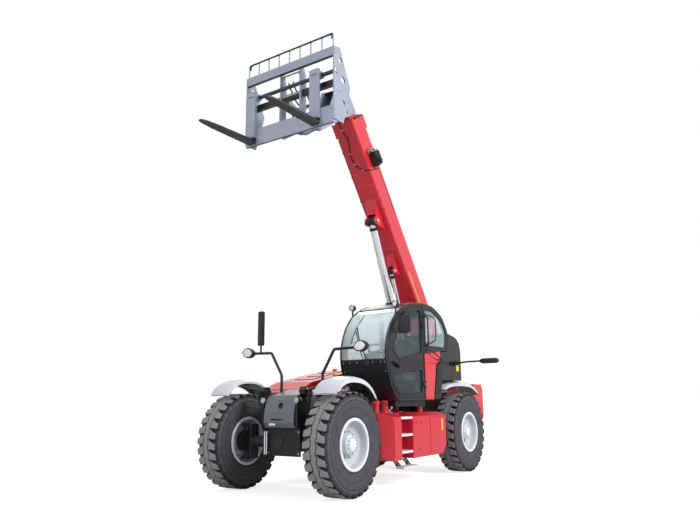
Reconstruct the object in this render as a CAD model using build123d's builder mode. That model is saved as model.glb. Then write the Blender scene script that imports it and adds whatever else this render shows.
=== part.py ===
from build123d import *
import math
import os

# Telehandler with four-wheel steering, a side cab and a four-section boom, in millimetres.
# Sizes are given in machine coordinates: x forward from the front axle, y to the machine's left
# from its centre plane, z up from the ground. FRONT_X and MID_Y place that datum in the part's
# own frame, whose origin is the bottom centre of the whole machine's bounding box.

os.makedirs("parts", exist_ok=True)

FRONT_X = 1848.0
MID_Y = -402.5

FIT = 0.3               # clearance of a running fit or a seat
SWING = 5.0             # clearance of a moving panel in its opening

# wheels and axles
WHEELBASE = 3700.0
REAR_X = -WHEELBASE     # rear axle, which the frame end, counterweight and rear fenders follow
TRACK = 1910.0
TYRE_RADIUS = 685.0
TYRE_WIDTH = 385.0
TREAD_WIDTH = 330.0
CASING = 26.0
BEAD_RADIUS = 318.0
FLANGE_RADIUS = 345.0
RIM_WIDTH = 365.0
FLANGE = 14.0
WELL_RADIUS = 300.0
SPINDLE_RADIUS = 70.0
HUB_RADIUS = 140.0
KINGPIN_INSET = 150.0
KINGPIN_RADIUS = 30.0
KNUCKLE_RADIUS = 150.0
KNUCKLE_REACH = 205.0
YOKE_ARM = 40.0
AXLE_TUBE = 80.0
DIFF_RADIUS = 150.0
DIFF_SHIFT = 65.0

# chassis
FRAME_HALF = 300.0
FRAME_PLATE = 30.0
FRAME_FRONT = 92.0
FRAME_BOTTOM = 500.0
FRAME_TOP = 1000.0
FRAME_REAR = REAR_X - 1200.0
TUNNEL_TOP = 868.0
NOSE_PLATE = 20.0
COVER_HALF = 290.0
COVER_NOSE = 272.0      # half width of the cover ahead of the frame
EAR_IN = 292.0          # inner face of the front ears
CW_FRONT = REAR_X - 790.0
CW_REAR = REAR_X - 1230.0
CW_HALF = 900.0
CW_TOP = 1538.0
CW_BOTTOM = 850.0

# boom, in its own plane: s along the boom from the pivot, t square to it and up
PIVOT_X = -4750.0
PIVOT_Z = 1875.0
BOOM_ANGLE = 53.5
PIVOT_BOSS = 150.0
PIVOT_PIN = 45.0
BASE_WIDTH = 410.0
BASE_HEIGHT = 400.0
BASE_WALL = 12.0
BASE_START = 60.0
BASE_END = 5385.0
COLLAR_START = 5120.0
COLLAR_RISE = 24.0
SECTION_GAP = 15.0
SECTION_WALL = 10.0
SECTION_START = 350.0
SECTION_STEP = 20.0
PAD = 70.0

# nose of the innermost boom section, which drops to the carriage pin
TOOL_X = -450.0
TOOL_Z = 5650.0
TOOL_PIN = 40.0
TOOL_BOSS = 105.0
NOSE_SKIN = 25.0
EAR_GAP = 37.0          # between a nose plate and the carriage upright beside it

# fork carriage
CARRIAGE_FRONT = 104.0
CARRIAGE_HALF = 900.0
CARRIAGE_BOTTOM = 5305.0
CARRIAGE_TOP = 6545.0
GUARD_TOP = 6795.0
SHAFT_Z = 6167.0
SHAFT_X = 34.0
SHAFT_RADIUS = 32.0
FORK_LENGTH = 1130.0
FORK_WIDTH = 150.0
SHANK_WIDTH = 172.0
FORK_TAPER = 300.0      # length of the tine that narrows towards its tip
FORK_THICK = 50.0
FORK_BOTTOM = 5335.0
FORK_PLACES = [("left_fork", 551.0), ("right_fork", -741.0)]

# cab
CAB_RIGHT = 275.0
CAB_LEFT = 1110.0
CAB_WALL = 45.0
CAB_FLOOR = 1250.0
DOOR_THICK = 40.0
GLASS = 8.0

boom_dir = Vector(math.cos(math.radians(BOOM_ANGLE)), 0, math.sin(math.radians(BOOM_ANGLE)))


def at(x, y, z):
    """A point of the machine, in the part's frame."""
    return Vector(FRONT_X + x, MID_Y + y, z)


def side(y):
    """Upright fore-and-aft plane at y: sketch x is forward, sketch y is up, and it faces right."""
    return Plane(origin=at(0, y, 0), x_dir=(1, 0, 0), z_dir=(0, -1, 0))


def across(x):
    """Upright crosswise plane at x: sketch x is to the left, sketch y is up, and it faces forward."""
    return Plane(origin=at(x, 0, 0), x_dir=(0, 1, 0), z_dir=(1, 0, 0))


def level(z):
    """Level plane at z: sketch x is forward, sketch y is to the left."""
    return Plane(origin=at(0, 0, z), x_dir=(1, 0, 0), z_dir=(0, 0, 1))


def boom_side(y):
    """Plane at y with sketch x along the boom from its pivot and sketch y square to it."""
    return Plane(origin=at(PIVOT_X, y, PIVOT_Z), x_dir=boom_dir, z_dir=(0, -1, 0))


def boom_cross(s):
    """Plane square to the boom at s: sketch x is to the left, sketch y is up from the boom."""
    return Plane(origin=at(PIVOT_X, 0, PIVOT_Z) + boom_dir * s, x_dir=(0, 1, 0), z_dir=boom_dir)


def on_boom(s, t):
    """Machine x and z of a point of the boom."""
    turn = math.radians(BOOM_ANGLE)
    x = PIVOT_X + s * math.cos(turn) - t * math.sin(turn)
    z = PIVOT_Z + s * math.sin(turn) + t * math.cos(turn)
    return x, z


def box(x0, x1, y0, y1, z0, z1, mode=Mode.ADD):
    """A block between machine coordinates."""
    with Locations(at((x0 + x1) / 2, (y0 + y1) / 2, (z0 + z1) / 2)):
        Box(abs(x1 - x0), abs(y1 - y0), abs(z1 - z0), mode=mode)


def slab(points, y0, y1, plane=side, mode=Mode.ADD, rounding=0):
    """An outline in a family of planes, side planes unless another is named, as thick as y0 to y1."""
    low, high = min(y0, y1), max(y0, y1)
    # side planes face right, so they are extruded from their high side
    start = high if plane(0).z_dir.Y < 0 else low
    with BuildSketch(plane(start)) as profile:
        with BuildLine():
            Polyline(*points, close=True)
        make_face()
        if rounding:
            fillet(profile.vertices(), radius=rounding)
    extrude(profile.sketch, amount=high - low, mode=mode)


def disc(x, z, radius, y0, y1, plane=side, mode=Mode.ADD):
    """A round bar or a bore along Y."""
    low, high = min(y0, y1), max(y0, y1)
    with BuildSketch(plane(high)) as profile:
        with Locations((x, z)):
            Circle(radius)
    extrude(profile.sketch, amount=high - low, mode=mode)


def pipe(points, radius, bend):
    """A round tube along machine points with rounded bends."""
    with BuildLine() as path:
        FilletPolyline(*[at(*p) for p in points], radius=bend)
    with BuildSketch(Plane(origin=path.line @ 0, z_dir=path.line % 0)) as ring:
        Circle(radius)
    sweep(ring.sketch, path=path.line)


def save(piece, name):
    """Label a finished piece and write it."""
    piece.part.label = name
    export_step(piece.part, "parts/" + name + ".step")


# ---------------------------------------------------------------- wheels
WHEELS = [
    # name, axle x, side
    ("front_left", 0.0, 1),
    ("front_right", 0.0, -1),
    ("rear_left", -WHEELBASE, 1),
    ("rear_right", -WHEELBASE, -1),
]
AXLE_Z = TYRE_RADIUS

for name, axle_x, hand in WHEELS:
    wheel_y = hand * TRACK / 2
    spin = Axis(origin=at(axle_x, 0, AXLE_Z), direction=(0, 1, 0))
    kingpin_y = hand * (TRACK / 2 - KINGPIN_INSET)

    with BuildPart() as tyre:
        with BuildSketch(across(axle_x)) as casing:
            with BuildLine():
                bead = RIM_WIDTH / 2 - FLANGE - FIT
                half = TYRE_WIDTH / 2
                tread = TREAD_WIDTH / 2
                low = (wheel_y - bead, AXLE_Z + BEAD_RADIUS)
                high = (wheel_y + bead, AXLE_Z + BEAD_RADIUS)
                Polyline((wheel_y - bead, AXLE_Z + FLANGE_RADIUS), low, high,
                         (wheel_y + bead, AXLE_Z + FLANGE_RADIUS))
                ThreePointArc((wheel_y + bead, AXLE_Z + FLANGE_RADIUS),
                              (wheel_y + half, AXLE_Z + 0.5 * (FLANGE_RADIUS + TYRE_RADIUS)),
                              (wheel_y + tread + 14, AXLE_Z + TYRE_RADIUS - 24))
                Polyline((wheel_y + tread + 14, AXLE_Z + TYRE_RADIUS - 24),
                         (wheel_y + tread, AXLE_Z + TYRE_RADIUS),
                         (wheel_y - tread, AXLE_Z + TYRE_RADIUS),
                         (wheel_y - tread - 14, AXLE_Z + TYRE_RADIUS - 24))
                ThreePointArc((wheel_y - tread - 14, AXLE_Z + TYRE_RADIUS - 24),
                              (wheel_y - half, AXLE_Z + 0.5 * (FLANGE_RADIUS + TYRE_RADIUS)),
                              (wheel_y - bead, AXLE_Z + FLANGE_RADIUS))
            make_face()
        revolve(casing.sketch, axis=spin)
        # air space, open to the rim between the beads
        with BuildSketch(across(axle_x)) as air:
            with BuildLine():
                wall = CASING
                Polyline((wheel_y - bead + wall, AXLE_Z + BEAD_RADIUS - 5),
                         (wheel_y - bead + wall, AXLE_Z + FLANGE_RADIUS + 15),
                         (wheel_y - half + wall, AXLE_Z + 0.5 * (FLANGE_RADIUS + TYRE_RADIUS)),
                         (wheel_y - tread + 20, AXLE_Z + TYRE_RADIUS - 85),
                         (wheel_y + tread - 20, AXLE_Z + TYRE_RADIUS - 85),
                         (wheel_y + half - wall, AXLE_Z + 0.5 * (FLANGE_RADIUS + TYRE_RADIUS)),
                         (wheel_y + bead - wall, AXLE_Z + FLANGE_RADIUS + 15),
                         (wheel_y + bead - wall, AXLE_Z + BEAD_RADIUS - 5), close=True)
            make_face()
        revolve(air.sketch, axis=spin, mode=Mode.SUBTRACT)
    save(tyre, name + "_tyre")

    # rim: flanges, bead seats, well, dished disc and planetary hub, turned as one profile
    with BuildPart() as rim:
        with BuildSketch(across(axle_x)) as turned:
            with BuildLine():
                rw = RIM_WIDTH / 2
                o = hand
                Polyline(
                    (wheel_y - o * rw, AXLE_Z + WELL_RADIUS + 10),
                    (wheel_y - o * rw, AXLE_Z + FLANGE_RADIUS),
                    (wheel_y - o * (rw - FLANGE), AXLE_Z + FLANGE_RADIUS),
                    (wheel_y - o * (rw - FLANGE), AXLE_Z + BEAD_RADIUS - FIT),
                    (wheel_y + o * (rw - FLANGE), AXLE_Z + BEAD_RADIUS - FIT),
                    (wheel_y + o * (rw - FLANGE), AXLE_Z + FLANGE_RADIUS),
                    (wheel_y + o * rw, AXLE_Z + FLANGE_RADIUS),
                    (wheel_y + o * rw, AXLE_Z + WELL_RADIUS + 6),
                    (wheel_y + o * 110, AXLE_Z + WELL_RADIUS - 4),
                    (wheel_y + o * 75, AXLE_Z + WELL_RADIUS - 20),
                    (wheel_y + o * 45, AXLE_Z + HUB_RADIUS + 66),
                    (wheel_y + o * 45, AXLE_Z + HUB_RADIUS),
                    (wheel_y + o * 120, AXLE_Z + HUB_RADIUS - 12),
                    (wheel_y + o * 128, AXLE_Z + HUB_RADIUS - 30),
                    (wheel_y + o * 128, AXLE_Z + 84),
                    (wheel_y + o * 150, AXLE_Z + 76),
                    (wheel_y + o * 150, AXLE_Z),
                    (wheel_y + o * 60, AXLE_Z),
                    (wheel_y + o * 60, AXLE_Z + SPINDLE_RADIUS + FIT),
                    (wheel_y - o * 80, AXLE_Z + SPINDLE_RADIUS + FIT),
                    (wheel_y - o * 80, AXLE_Z + HUB_RADIUS - 10),
                    (wheel_y + o * 22, AXLE_Z + HUB_RADIUS),
                    (wheel_y + o * 22, AXLE_Z + HUB_RADIUS + 72),
                    (wheel_y + o * 52, AXLE_Z + WELL_RADIUS - 10),
                    close=True)
            make_face()
        revolve(turned.sketch, axis=spin)
    save(rim, name + "_rim")

    # steering knuckle: drum, spindle and the two kingpin trunnions
    with BuildPart() as knuckle:
        face = kingpin_y + hand * (KINGPIN_INSET - 80 - FIT)
        disc(axle_x, AXLE_Z, KNUCKLE_RADIUS, kingpin_y - hand * 40, face)
        disc(axle_x, AXLE_Z, SPINDLE_RADIUS, face, wheel_y + hand * (60 - FIT))
        for up in (1, -1):
            with BuildSketch(level(AXLE_Z)) as trunnion:
                with Locations((axle_x, kingpin_y)):
                    Circle(40)
            extrude(trunnion.sketch, amount=up * (KNUCKLE_REACH - FIT))
            with BuildSketch(level(AXLE_Z)) as kingpin:
                with Locations((axle_x, kingpin_y)):
                    Circle(KINGPIN_RADIUS)
            extrude(kingpin.sketch, amount=up * (KNUCKLE_REACH + YOKE_ARM + 12))
    save(knuckle, name + "_knuckle")

# ---------------------------------------------------------------- axles
AXLES = [
    # name, x, way the differential bulges
    ("front_axle", 0.0, -1),
    ("rear_axle", -WHEELBASE, 1),
]
for name, axle_x, bulge in AXLES:
    with BuildPart() as axle:
        middle = axle_x + bulge * DIFF_SHIFT
        with BuildSketch(across(middle)) as banjo:
            with BuildLine():
                Polyline((-230, AXLE_Z), (-230, AXLE_Z + 85), (-150, AXLE_Z + DIFF_RADIUS - 14),
                         (-90, AXLE_Z + DIFF_RADIUS), (90, AXLE_Z + DIFF_RADIUS),
                         (150, AXLE_Z + DIFF_RADIUS - 14), (230, AXLE_Z + 85), (230, AXLE_Z), close=True)
            make_face()
        revolve(banjo.sketch, axis=Axis(origin=at(middle, 0, AXLE_Z), direction=(0, 1, 0)))
        yoke = TRACK / 2 - KINGPIN_INSET - 125
        disc(axle_x, AXLE_Z, AXLE_TUBE, -yoke, yoke)
        # input flange towards the middle of the machine
        with BuildSketch(across(middle)) as pinion:
            with Locations((0, AXLE_Z)):
                Circle(70)
        extrude(pinion.sketch, amount=bulge * (DIFF_RADIUS + 70))
        for hand in (1, -1):
            kingpin_y = hand * (TRACK / 2 - KINGPIN_INSET)
            reach = KNUCKLE_REACH + YOKE_ARM
            box(axle_x - 60, axle_x + 60, hand * (FRAME_HALF - FRAME_PLATE), hand * FRAME_HALF,
                AXLE_Z, TUNNEL_TOP - FIT)
            box(axle_x - 75, axle_x + 75, hand * (yoke - 40), hand * yoke, AXLE_Z - reach, AXLE_Z + reach)
            for up in (1, -1):
                z_in = AXLE_Z + up * KNUCKLE_REACH
                z_out = AXLE_Z + up * reach
                box(axle_x - 65, axle_x + 65, hand * yoke, kingpin_y, z_in, z_out)
                with BuildSketch(level(z_in)) as arm_end:
                    with Locations((axle_x, kingpin_y)):
                        Circle(65)
                extrude(arm_end.sketch, amount=up * YOKE_ARM)
                with BuildSketch(level(z_in)) as arm_bore:
                    with Locations((axle_x, kingpin_y)):
                        Circle(KINGPIN_RADIUS + FIT)
                extrude(arm_bore.sketch, amount=up * YOKE_ARM, mode=Mode.SUBTRACT)
    save(axle, name)

# ---------------------------------------------------------------- chassis frame
LIFT_BASE = (-3802.0, 1000.0)
COMP_BASE = (-3950.0, 1400.0)
LIFT_EYE = on_boom(3520.0, -400.0)
COMP_EYE = on_boom(2466.0, -365.0)

frame_side = [
    (FRAME_FRONT, FRAME_BOTTOM), (FRAME_FRONT, 960), (-120, FRAME_TOP), (-3150, FRAME_TOP),
    (-3500, 1150), (PIVOT_X + PIVOT_BOSS, PIVOT_Z + 40), (PIVOT_X + 90, PIVOT_Z + PIVOT_BOSS - 15),
    (PIVOT_X - 90, PIVOT_Z + PIVOT_BOSS - 15), (PIVOT_X - PIVOT_BOSS, PIVOT_Z + 40),
    (FRAME_REAR, 900), (-4300, 640), (-4000, FRAME_BOTTOM + 60), (-500, FRAME_BOTTOM + 60),
    (-350, FRAME_BOTTOM),
]
inner = FRAME_HALF - FRAME_PLATE
with BuildPart() as chassis_frame:
    for hand in (1, -1):
        slab(frame_side, hand * inner, hand * FRAME_HALF)
    box(FRAME_FRONT, FRAME_FRONT + NOSE_PLATE, -FRAME_HALF, FRAME_HALF, FRAME_BOTTOM, 966)
    # cross members between the side plates
    box(-330, -350, -inner, inner, FRAME_BOTTOM + 30, FRAME_TOP - 20)
    box(-1800, -1780, -inner, inner, FRAME_BOTTOM + 70, FRAME_TOP - 150)
    box(-3950, -3600, -inner, inner, 870, 895)
    box(-4170, -4150, -inner, inner, 895, 1540)
    box(-4500, -4470, -inner, inner, 700, CW_BOTTOM - SWING)
    # axle tunnels
    for name, axle_x, bulge in AXLES:
        box(axle_x - 95, axle_x + 91, -FRAME_HALF, FRAME_HALF, FRAME_BOTTOM - 10, TUNNEL_TOP, mode=Mode.SUBTRACT)
    # lugs of the lift and compensation cylinders, and their pins
    for hand in (1, -1):
        slab([(LIFT_BASE[0] - 95, 895), (LIFT_BASE[0] - 70, LIFT_BASE[1] + 70),
              (LIFT_BASE[0] + 70, LIFT_BASE[1] + 70), (LIFT_BASE[0] + 95, 895)], hand * 80, hand * 110)
        slab([(-4150, 1290), (-4150, 1500), (COMP_BASE[0] + 20, COMP_BASE[1] + 55),
              (COMP_BASE[0] + 55, COMP_BASE[1] + 20), (COMP_BASE[0] + 55, COMP_BASE[1] - 55)],
             hand * 54, hand * 76)
    disc(LIFT_BASE[0], LIFT_BASE[1], 40, -122, 122)
    disc(COMP_BASE[0], COMP_BASE[1], 25, -84, 84)
    # front ears beside the cover, each with a pin and a hydraulic block on a bracket
    for hand in (1, -1):
        slab([(FRAME_FRONT, 890), (205, 905), (214, 1180), (204, 1290), (150, 1345), (70, 1345), (-30, 1250),
              (-60, 985), (-60, 930)], hand * EAR_IN, hand * (EAR_IN + 32))
        disc(146, 1283, 34, hand * EAR_IN, hand * (EAR_IN + 46))
        slab([(-10, 1260), (60, 1335), (150, 1340), (178, 1400), (140, 1455), (60, 1455), (20, 1400)],
             hand * (EAR_IN + 31), hand * (EAR_IN + 130), rounding=18)
    # boom pivot pin, held in the tower plates
    disc(PIVOT_X, PIVOT_Z, PIVOT_PIN, -FRAME_HALF - 12, FRAME_HALF + 12)
save(chassis_frame, "chassis_frame")

with BuildPart() as front_cover:
    slab([(FRAME_FRONT, 970), (FRAME_FRONT, 1310), (60, 1325), (-330, 1423), (-620, 1423),
          (-620, FRAME_TOP + FIT), (-120, FRAME_TOP + FIT), (FRAME_FRONT - 60, 970 + 3)],
         -COVER_HALF, COVER_HALF)
    # nose ahead of the frame's front plate, with a round and a long opening
    nose_back = FRAME_FRONT + NOSE_PLATE + FIT
    slab([(nose_back, 888), (196, 888), (228, 960), (218, 1112), (180, 1270), (120, 1338), (60, 1340), (60, 1000),
          (nose_back, 1000)], -COVER_NOSE, COVER_NOSE, rounding=14)
    with BuildSketch(Plane(origin=at(200, 0, 1192), x_dir=(0, 1, 0), z_dir=(0.97, 0, 0.24))) as peep:
        with Locations((16, 0)):
            Circle(44)
    extrude(peep.sketch, amount=60, both=True, mode=Mode.SUBTRACT)
    box(150, 240, -150, 90, 992, 1012, mode=Mode.SUBTRACT)
save(front_cover, "front_cover")

with BuildPart() as counterweight:
    slab([(CW_FRONT, CW_BOTTOM + 120), (CW_FRONT, CW_TOP), (CW_REAR + 60, CW_TOP), (CW_REAR, CW_TOP - 90),
          (CW_REAR, CW_BOTTOM + 60), (CW_REAR + 80, CW_BOTTOM), (CW_FRONT - 120, CW_BOTTOM)],
         -CW_HALF, CW_HALF)
    for hand in (1, -1):
        box(CW_FRONT + 5, FRAME_REAR - FIT, hand * (inner - FIT), hand * (FRAME_HALF + FIT),
            CW_BOTTOM - 5, CW_TOP + 5, mode=Mode.SUBTRACT)
save(counterweight, "counterweight")

# ---------------------------------------------------------------- left step box, with the cab mounts
TANK_FRONT = -880.0
TANK_REAR = -2720.0
TANK_BOTTOM = 390.0
TANK_TOP = 1060.0
TANK_SHOULDER = 1006.0  # height of the outer face, below the chamfer
TANK_OUT = 1140.0
STEP_FRONT = -1242.0
STEP_REAR = -1579.0
STEP_TREADS = [508.0, 753.0, 1002.0]
STEP_DEPTH = 230.0
with BuildPart() as side_tank:
    slab([(TANK_FRONT - 30, TANK_BOTTOM + 60), (TANK_FRONT, TANK_TOP), (TANK_REAR, TANK_TOP),
          (TANK_REAR, TANK_BOTTOM + 160), (TANK_REAR + 120, TANK_BOTTOM), (TANK_FRONT - 90, TANK_BOTTOM)],
         FRAME_HALF + FIT, TANK_OUT)
    # sloped shoulder along the top, and the front corner cut back
    slab([(TANK_OUT - 140, TANK_TOP), (TANK_OUT, TANK_SHOULDER), (TANK_OUT + 50, TANK_SHOULDER),
          (TANK_OUT + 50, TANK_TOP + 50), (TANK_OUT - 140, TANK_TOP + 50)], TANK_REAR - 50, TANK_FRONT + 50,
         plane=across, mode=Mode.SUBTRACT)
    slab([(TANK_FRONT, TANK_OUT - 198), (TANK_FRONT - 130, TANK_OUT), (TANK_FRONT - 130, TANK_OUT + 50),
          (TANK_FRONT + 50, TANK_OUT + 50), (TANK_FRONT + 50, TANK_OUT - 198)], TANK_BOTTOM - 50, TANK_TOP + 50,
         plane=level, mode=Mode.SUBTRACT)
    box(STEP_REAR, STEP_FRONT, TANK_OUT - STEP_DEPTH, TANK_OUT + 5, TANK_BOTTOM - 5, TANK_TOP + 5,
        mode=Mode.SUBTRACT)
    for mount_x in (-1250, -2350):
        for mount_y in (400, 850):
            with BuildSketch(level(TANK_TOP)) as mount:
                with Locations((mount_x, mount_y)):
                    Circle(55)
            extrude(mount.sketch, amount=CAB_FLOOR - TANK_TOP)
save(side_tank, "side_tank")

with BuildPart() as access_steps:
    for tread_z in STEP_TREADS:
        box(STEP_REAR + FIT, STEP_FRONT - FIT, TANK_OUT - STEP_DEPTH + FIT, TANK_OUT, tread_z - 30, tread_z)
    # hanging lower step on two raked brackets
    box(-1755, -1300, 990, 1130, 257, 285)
    for hanger_x in (-1180, -1480):
        slab([(hanger_x, TANK_BOTTOM), (hanger_x - 105, TANK_BOTTOM), (hanger_x - 245, 270), (hanger_x - 135, 270)],
             1000, 1012)
save(access_steps, "access_steps")

# ---------------------------------------------------------------- right engine bay
BAY_FRONT = -880.0
BAY_REAR = -2820.0
BAY_OUT = -1130.0
BAY_BOTTOM = 480.0
BAY_TOP = 1240.0
BAY_WALL = 12.0
HOOD_HINGE_X = -2815.0
HOOD_HINGE_Z = 1806.0
HOOD_LUGS = (-960.0, -500.0)
with BuildPart() as engine_bay:
    box(BAY_REAR, BAY_FRONT, BAY_OUT, -FRAME_HALF - FIT, BAY_BOTTOM, BAY_TOP)
    box(BAY_REAR + BAY_WALL, BAY_FRONT - BAY_WALL, BAY_OUT + BAY_WALL, -FRAME_HALF - FIT - BAY_WALL,
        BAY_BOTTOM + BAY_WALL, BAY_TOP + 5, mode=Mode.SUBTRACT)
    # rear bulkhead with the hood's hinge lugs
    box(BAY_REAR - 20, BAY_REAR - 8, BAY_OUT + 20, -FRAME_HALF - 50, BAY_TOP - 60, HOOD_HINGE_Z - 15)
    box(BAY_REAR - 20, BAY_REAR + 1, BAY_OUT + 20, -FRAME_HALF - 50, BAY_TOP - 60, BAY_TOP - 5)
    for lug_y in HOOD_LUGS:
        for edge in (-1, 1):
            slab([(BAY_REAR - 20, HOOD_HINGE_Z - 40), (BAY_REAR - 20, HOOD_HINGE_Z + 10),
                  (HOOD_HINGE_X + 10, HOOD_HINGE_Z + 12), (HOOD_HINGE_X + 10, HOOD_HINGE_Z - 6),
                  (BAY_REAR - 8, HOOD_HINGE_Z - 30)], lug_y + edge * 21, lug_y + edge * 33)
        disc(HOOD_HINGE_X, HOOD_HINGE_Z, 8, lug_y - 33, lug_y + 33)
save(engine_bay, "engine_bay")

with BuildPart() as engine_block:
    box(-2350, -1150, -980, -430, BAY_BOTTOM + 150, 1480)
    for foot_x in (-2200, -1300):
        for foot_y in (-900, -500):
            box(foot_x - 50, foot_x + 50, foot_y - 50, foot_y + 50, BAY_BOTTOM + BAY_WALL, BAY_BOTTOM + 150)
save(engine_block, "engine_block")

HOOD_IN = -345.0
HOOD_OUT = -1120.0
HOOD_SKIN = 8.0
hood_side = [(-870, BAY_TOP + SWING), (-700, 1400), (-715, 1440), (-1000, 1554), (-2300, 1790),
             (-2760, 1790), (-2810, 1740), (-2810, BAY_TOP + SWING)]
with BuildPart() as engine_hood:
    slab(hood_side, HOOD_OUT, HOOD_IN)
    with BuildSketch(side(HOOD_IN - HOOD_SKIN)) as hollow:
        with BuildLine():
            Polyline(*hood_side, close=True)
        make_face()
        offset(amount=-HOOD_SKIN, kind=Kind.INTERSECTION, mode=Mode.REPLACE)
    extrude(hollow.sketch, amount=HOOD_IN - HOOD_OUT - 2 * HOOD_SKIN, mode=Mode.SUBTRACT)
    box(-2795, -900, HOOD_OUT + HOOD_SKIN, HOOD_IN - HOOD_SKIN, BAY_TOP, BAY_TOP + 60, mode=Mode.SUBTRACT)
    for lug_y in HOOD_LUGS:
        slab([(HOOD_HINGE_X - 14, HOOD_HINGE_Z - 14), (HOOD_HINGE_X - 14, HOOD_HINGE_Z + 14),
              (HOOD_HINGE_X + 20, HOOD_HINGE_Z + 14), (HOOD_HINGE_X + 130, 1789), (HOOD_HINGE_X + 60, 1785)],
             lug_y - 20, lug_y + 20)
        disc(HOOD_HINGE_X, HOOD_HINGE_Z, 8 + FIT, lug_y - 25, lug_y + 25, mode=Mode.SUBTRACT)
save(engine_hood, "engine_hood")

# ---------------------------------------------------------------- fenders
FENDER_SKIN = 10.0
FENDERS = [
    # name, side, inner y, outer y, outline points of the upper face, stay (x, root y, top z)
    ("front_left_fender", 1, 770.0, 1150.0, [(430, 1345), (345, 1455), (200, 1530), (0, 1555), (-210, 1530), (-400, 1440), (-560, 1250)],
     (-375, COVER_HALF + FIT, 1448)),
    ("front_right_fender", -1, 770.0, 1150.0, [(430, 1345), (345, 1455), (200, 1530), (0, 1555), (-210, 1530), (-400, 1440), (-560, 1250)],
     (-375, COVER_HALF + FIT, 1448)),
    ("rear_left_fender", 1, 770.0, 1110.0, [(REAR_X + 910, 1425), (REAR_X + 720, 1500), (REAR_X + 430, 1540), (REAR_X + 80, 1545), (REAR_X - 250, 1500), (REAR_X - 550, 1345)],
     (REAR_X - 290, FRAME_HALF + FIT, 1480)),
    ("rear_right_fender", -1, 770.0, 1110.0, [(REAR_X + 810, 1425), (REAR_X + 680, 1500), (REAR_X + 430, 1540), (REAR_X + 80, 1545), (REAR_X - 250, 1500), (REAR_X - 550, 1345)],
     (REAR_X - 290, FRAME_HALF + FIT, 1480)),
]
for name, hand, y_in, y_out, points, stay in FENDERS:
    with BuildPart() as fender:
        with BuildSketch(side(max(hand * y_in, hand * y_out))) as strip:
            with BuildLine():
                under = [(x, z - FENDER_SKIN) for x, z in reversed(points)]
                Spline(*points)
                Line(points[-1], under[0])
                Spline(*under)
                Line(under[-1], points[0])
            make_face()
        extrude(strip.sketch, amount=y_out - y_in)
        # stay from the frame, passing above the steered tyre
        stay_x, root, post_top = stay
        box(stay_x - 25, stay_x + 25, hand * root, hand * (y_in + 20), 1385, 1415)
        box(stay_x - 25, stay_x + 25, hand * (y_in - 15), hand * (y_in + 20), 1385, post_top)
    save(fender, name)


# ---------------------------------------------------------------- cab
cab_side = [(-1250, CAB_FLOOR), (-1110, 1340), (-1010, 1480), (-945, 1660), (-905, 1830), (-900, 1995), (-960, 2208),
            (-1070, 2398), (-1230, 2565), (-1430, 2680), (-1680, 2765), (-2046, 2810), (-2450, 2795), (-2780, 2660),
            (-2900, 2530), (-2990, 2400), (-2915, 2075), (-2690, 2066), (-2700, 1905), (-2515, 1839),
            (-2395, CAB_FLOOR)]
door_side = [(-1265, 1295), (-1130, 1372), (-1050, 1492), (-990, 1665), (-950, 1832), (-946, 1990), (-1005, 2190),
             (-1108, 2370), (-1262, 2528), (-1450, 2638), (-1690, 2720), (-2046, 2763), (-2087, 2763), (-2087, 1295)]
# window cuts: outline in the side plane, with its y limits
windscreen = [(-800, 1862), (-800, 2200), (-1000, 2500), (-1200, 2680), (-1350, 2730), (-1430, 2600), (-1300, 2450),
              (-1080, 2200), (-1020, 1990), (-1020, 1862)]
rear_window = [(-2560, 2830), (-2760, 2760), (-3000, 2560), (-3080, 2430), (-2930, 2380), (-2800, 2520), (-2640, 2630)]
quarter_window = [(-2150, 2120), (-2150, 2735), (-2430, 2725), (-2740, 2605), (-2850, 2490), (-2925, 2380),
                  (-2870, 2125)]
right_window = [(-1080, 1750), (-1030, 1990), (-1440, 2560), (-1500, 2640), (-2080, 2650), (-2080, 1750)]
WINDOWS = [
    # outline, y limits
    (windscreen, CAB_RIGHT + 48, CAB_LEFT - 48),
    (rear_window, CAB_RIGHT + 70, CAB_LEFT - 70),
    (quarter_window, CAB_LEFT - CAB_WALL - 5, CAB_LEFT + 5),
    (quarter_window, CAB_RIGHT - 5, CAB_RIGHT + CAB_WALL + 5),
    (right_window, CAB_RIGHT - 5, CAB_RIGHT + CAB_WALL + 5),
]

with BuildPart() as cab_shell:
    slab(cab_side, CAB_RIGHT, CAB_LEFT)
    with BuildSketch(side(CAB_LEFT - CAB_WALL)) as room:
        with BuildLine():
            Polyline(*cab_side, close=True)
        make_face()
        offset(amount=-CAB_WALL, kind=Kind.INTERSECTION, mode=Mode.REPLACE)
    extrude(room.sketch, amount=CAB_LEFT - CAB_RIGHT - 2 * CAB_WALL, mode=Mode.SUBTRACT)
    with BuildSketch(side(CAB_LEFT + 5)) as doorway:
        with BuildLine():
            Polyline(*door_side, close=True)
        make_face()
        offset(amount=SWING, kind=Kind.INTERSECTION, mode=Mode.REPLACE)
    extrude(doorway.sketch, amount=CAB_WALL + 10, mode=Mode.SUBTRACT)
    for outline, y_low, y_high in WINDOWS:
        slab(outline, y_low, y_high, mode=Mode.SUBTRACT)
    # floor frame between the four mounts
    box(-2280, -1320, 360, 1000, CAB_FLOOR - 95, CAB_FLOOR + 5)
save(cab_shell, "cab_shell")

with BuildPart() as window_cuts:
    for outline, y_low, y_high in WINDOWS:
        slab(outline, y_low, y_high)

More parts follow.
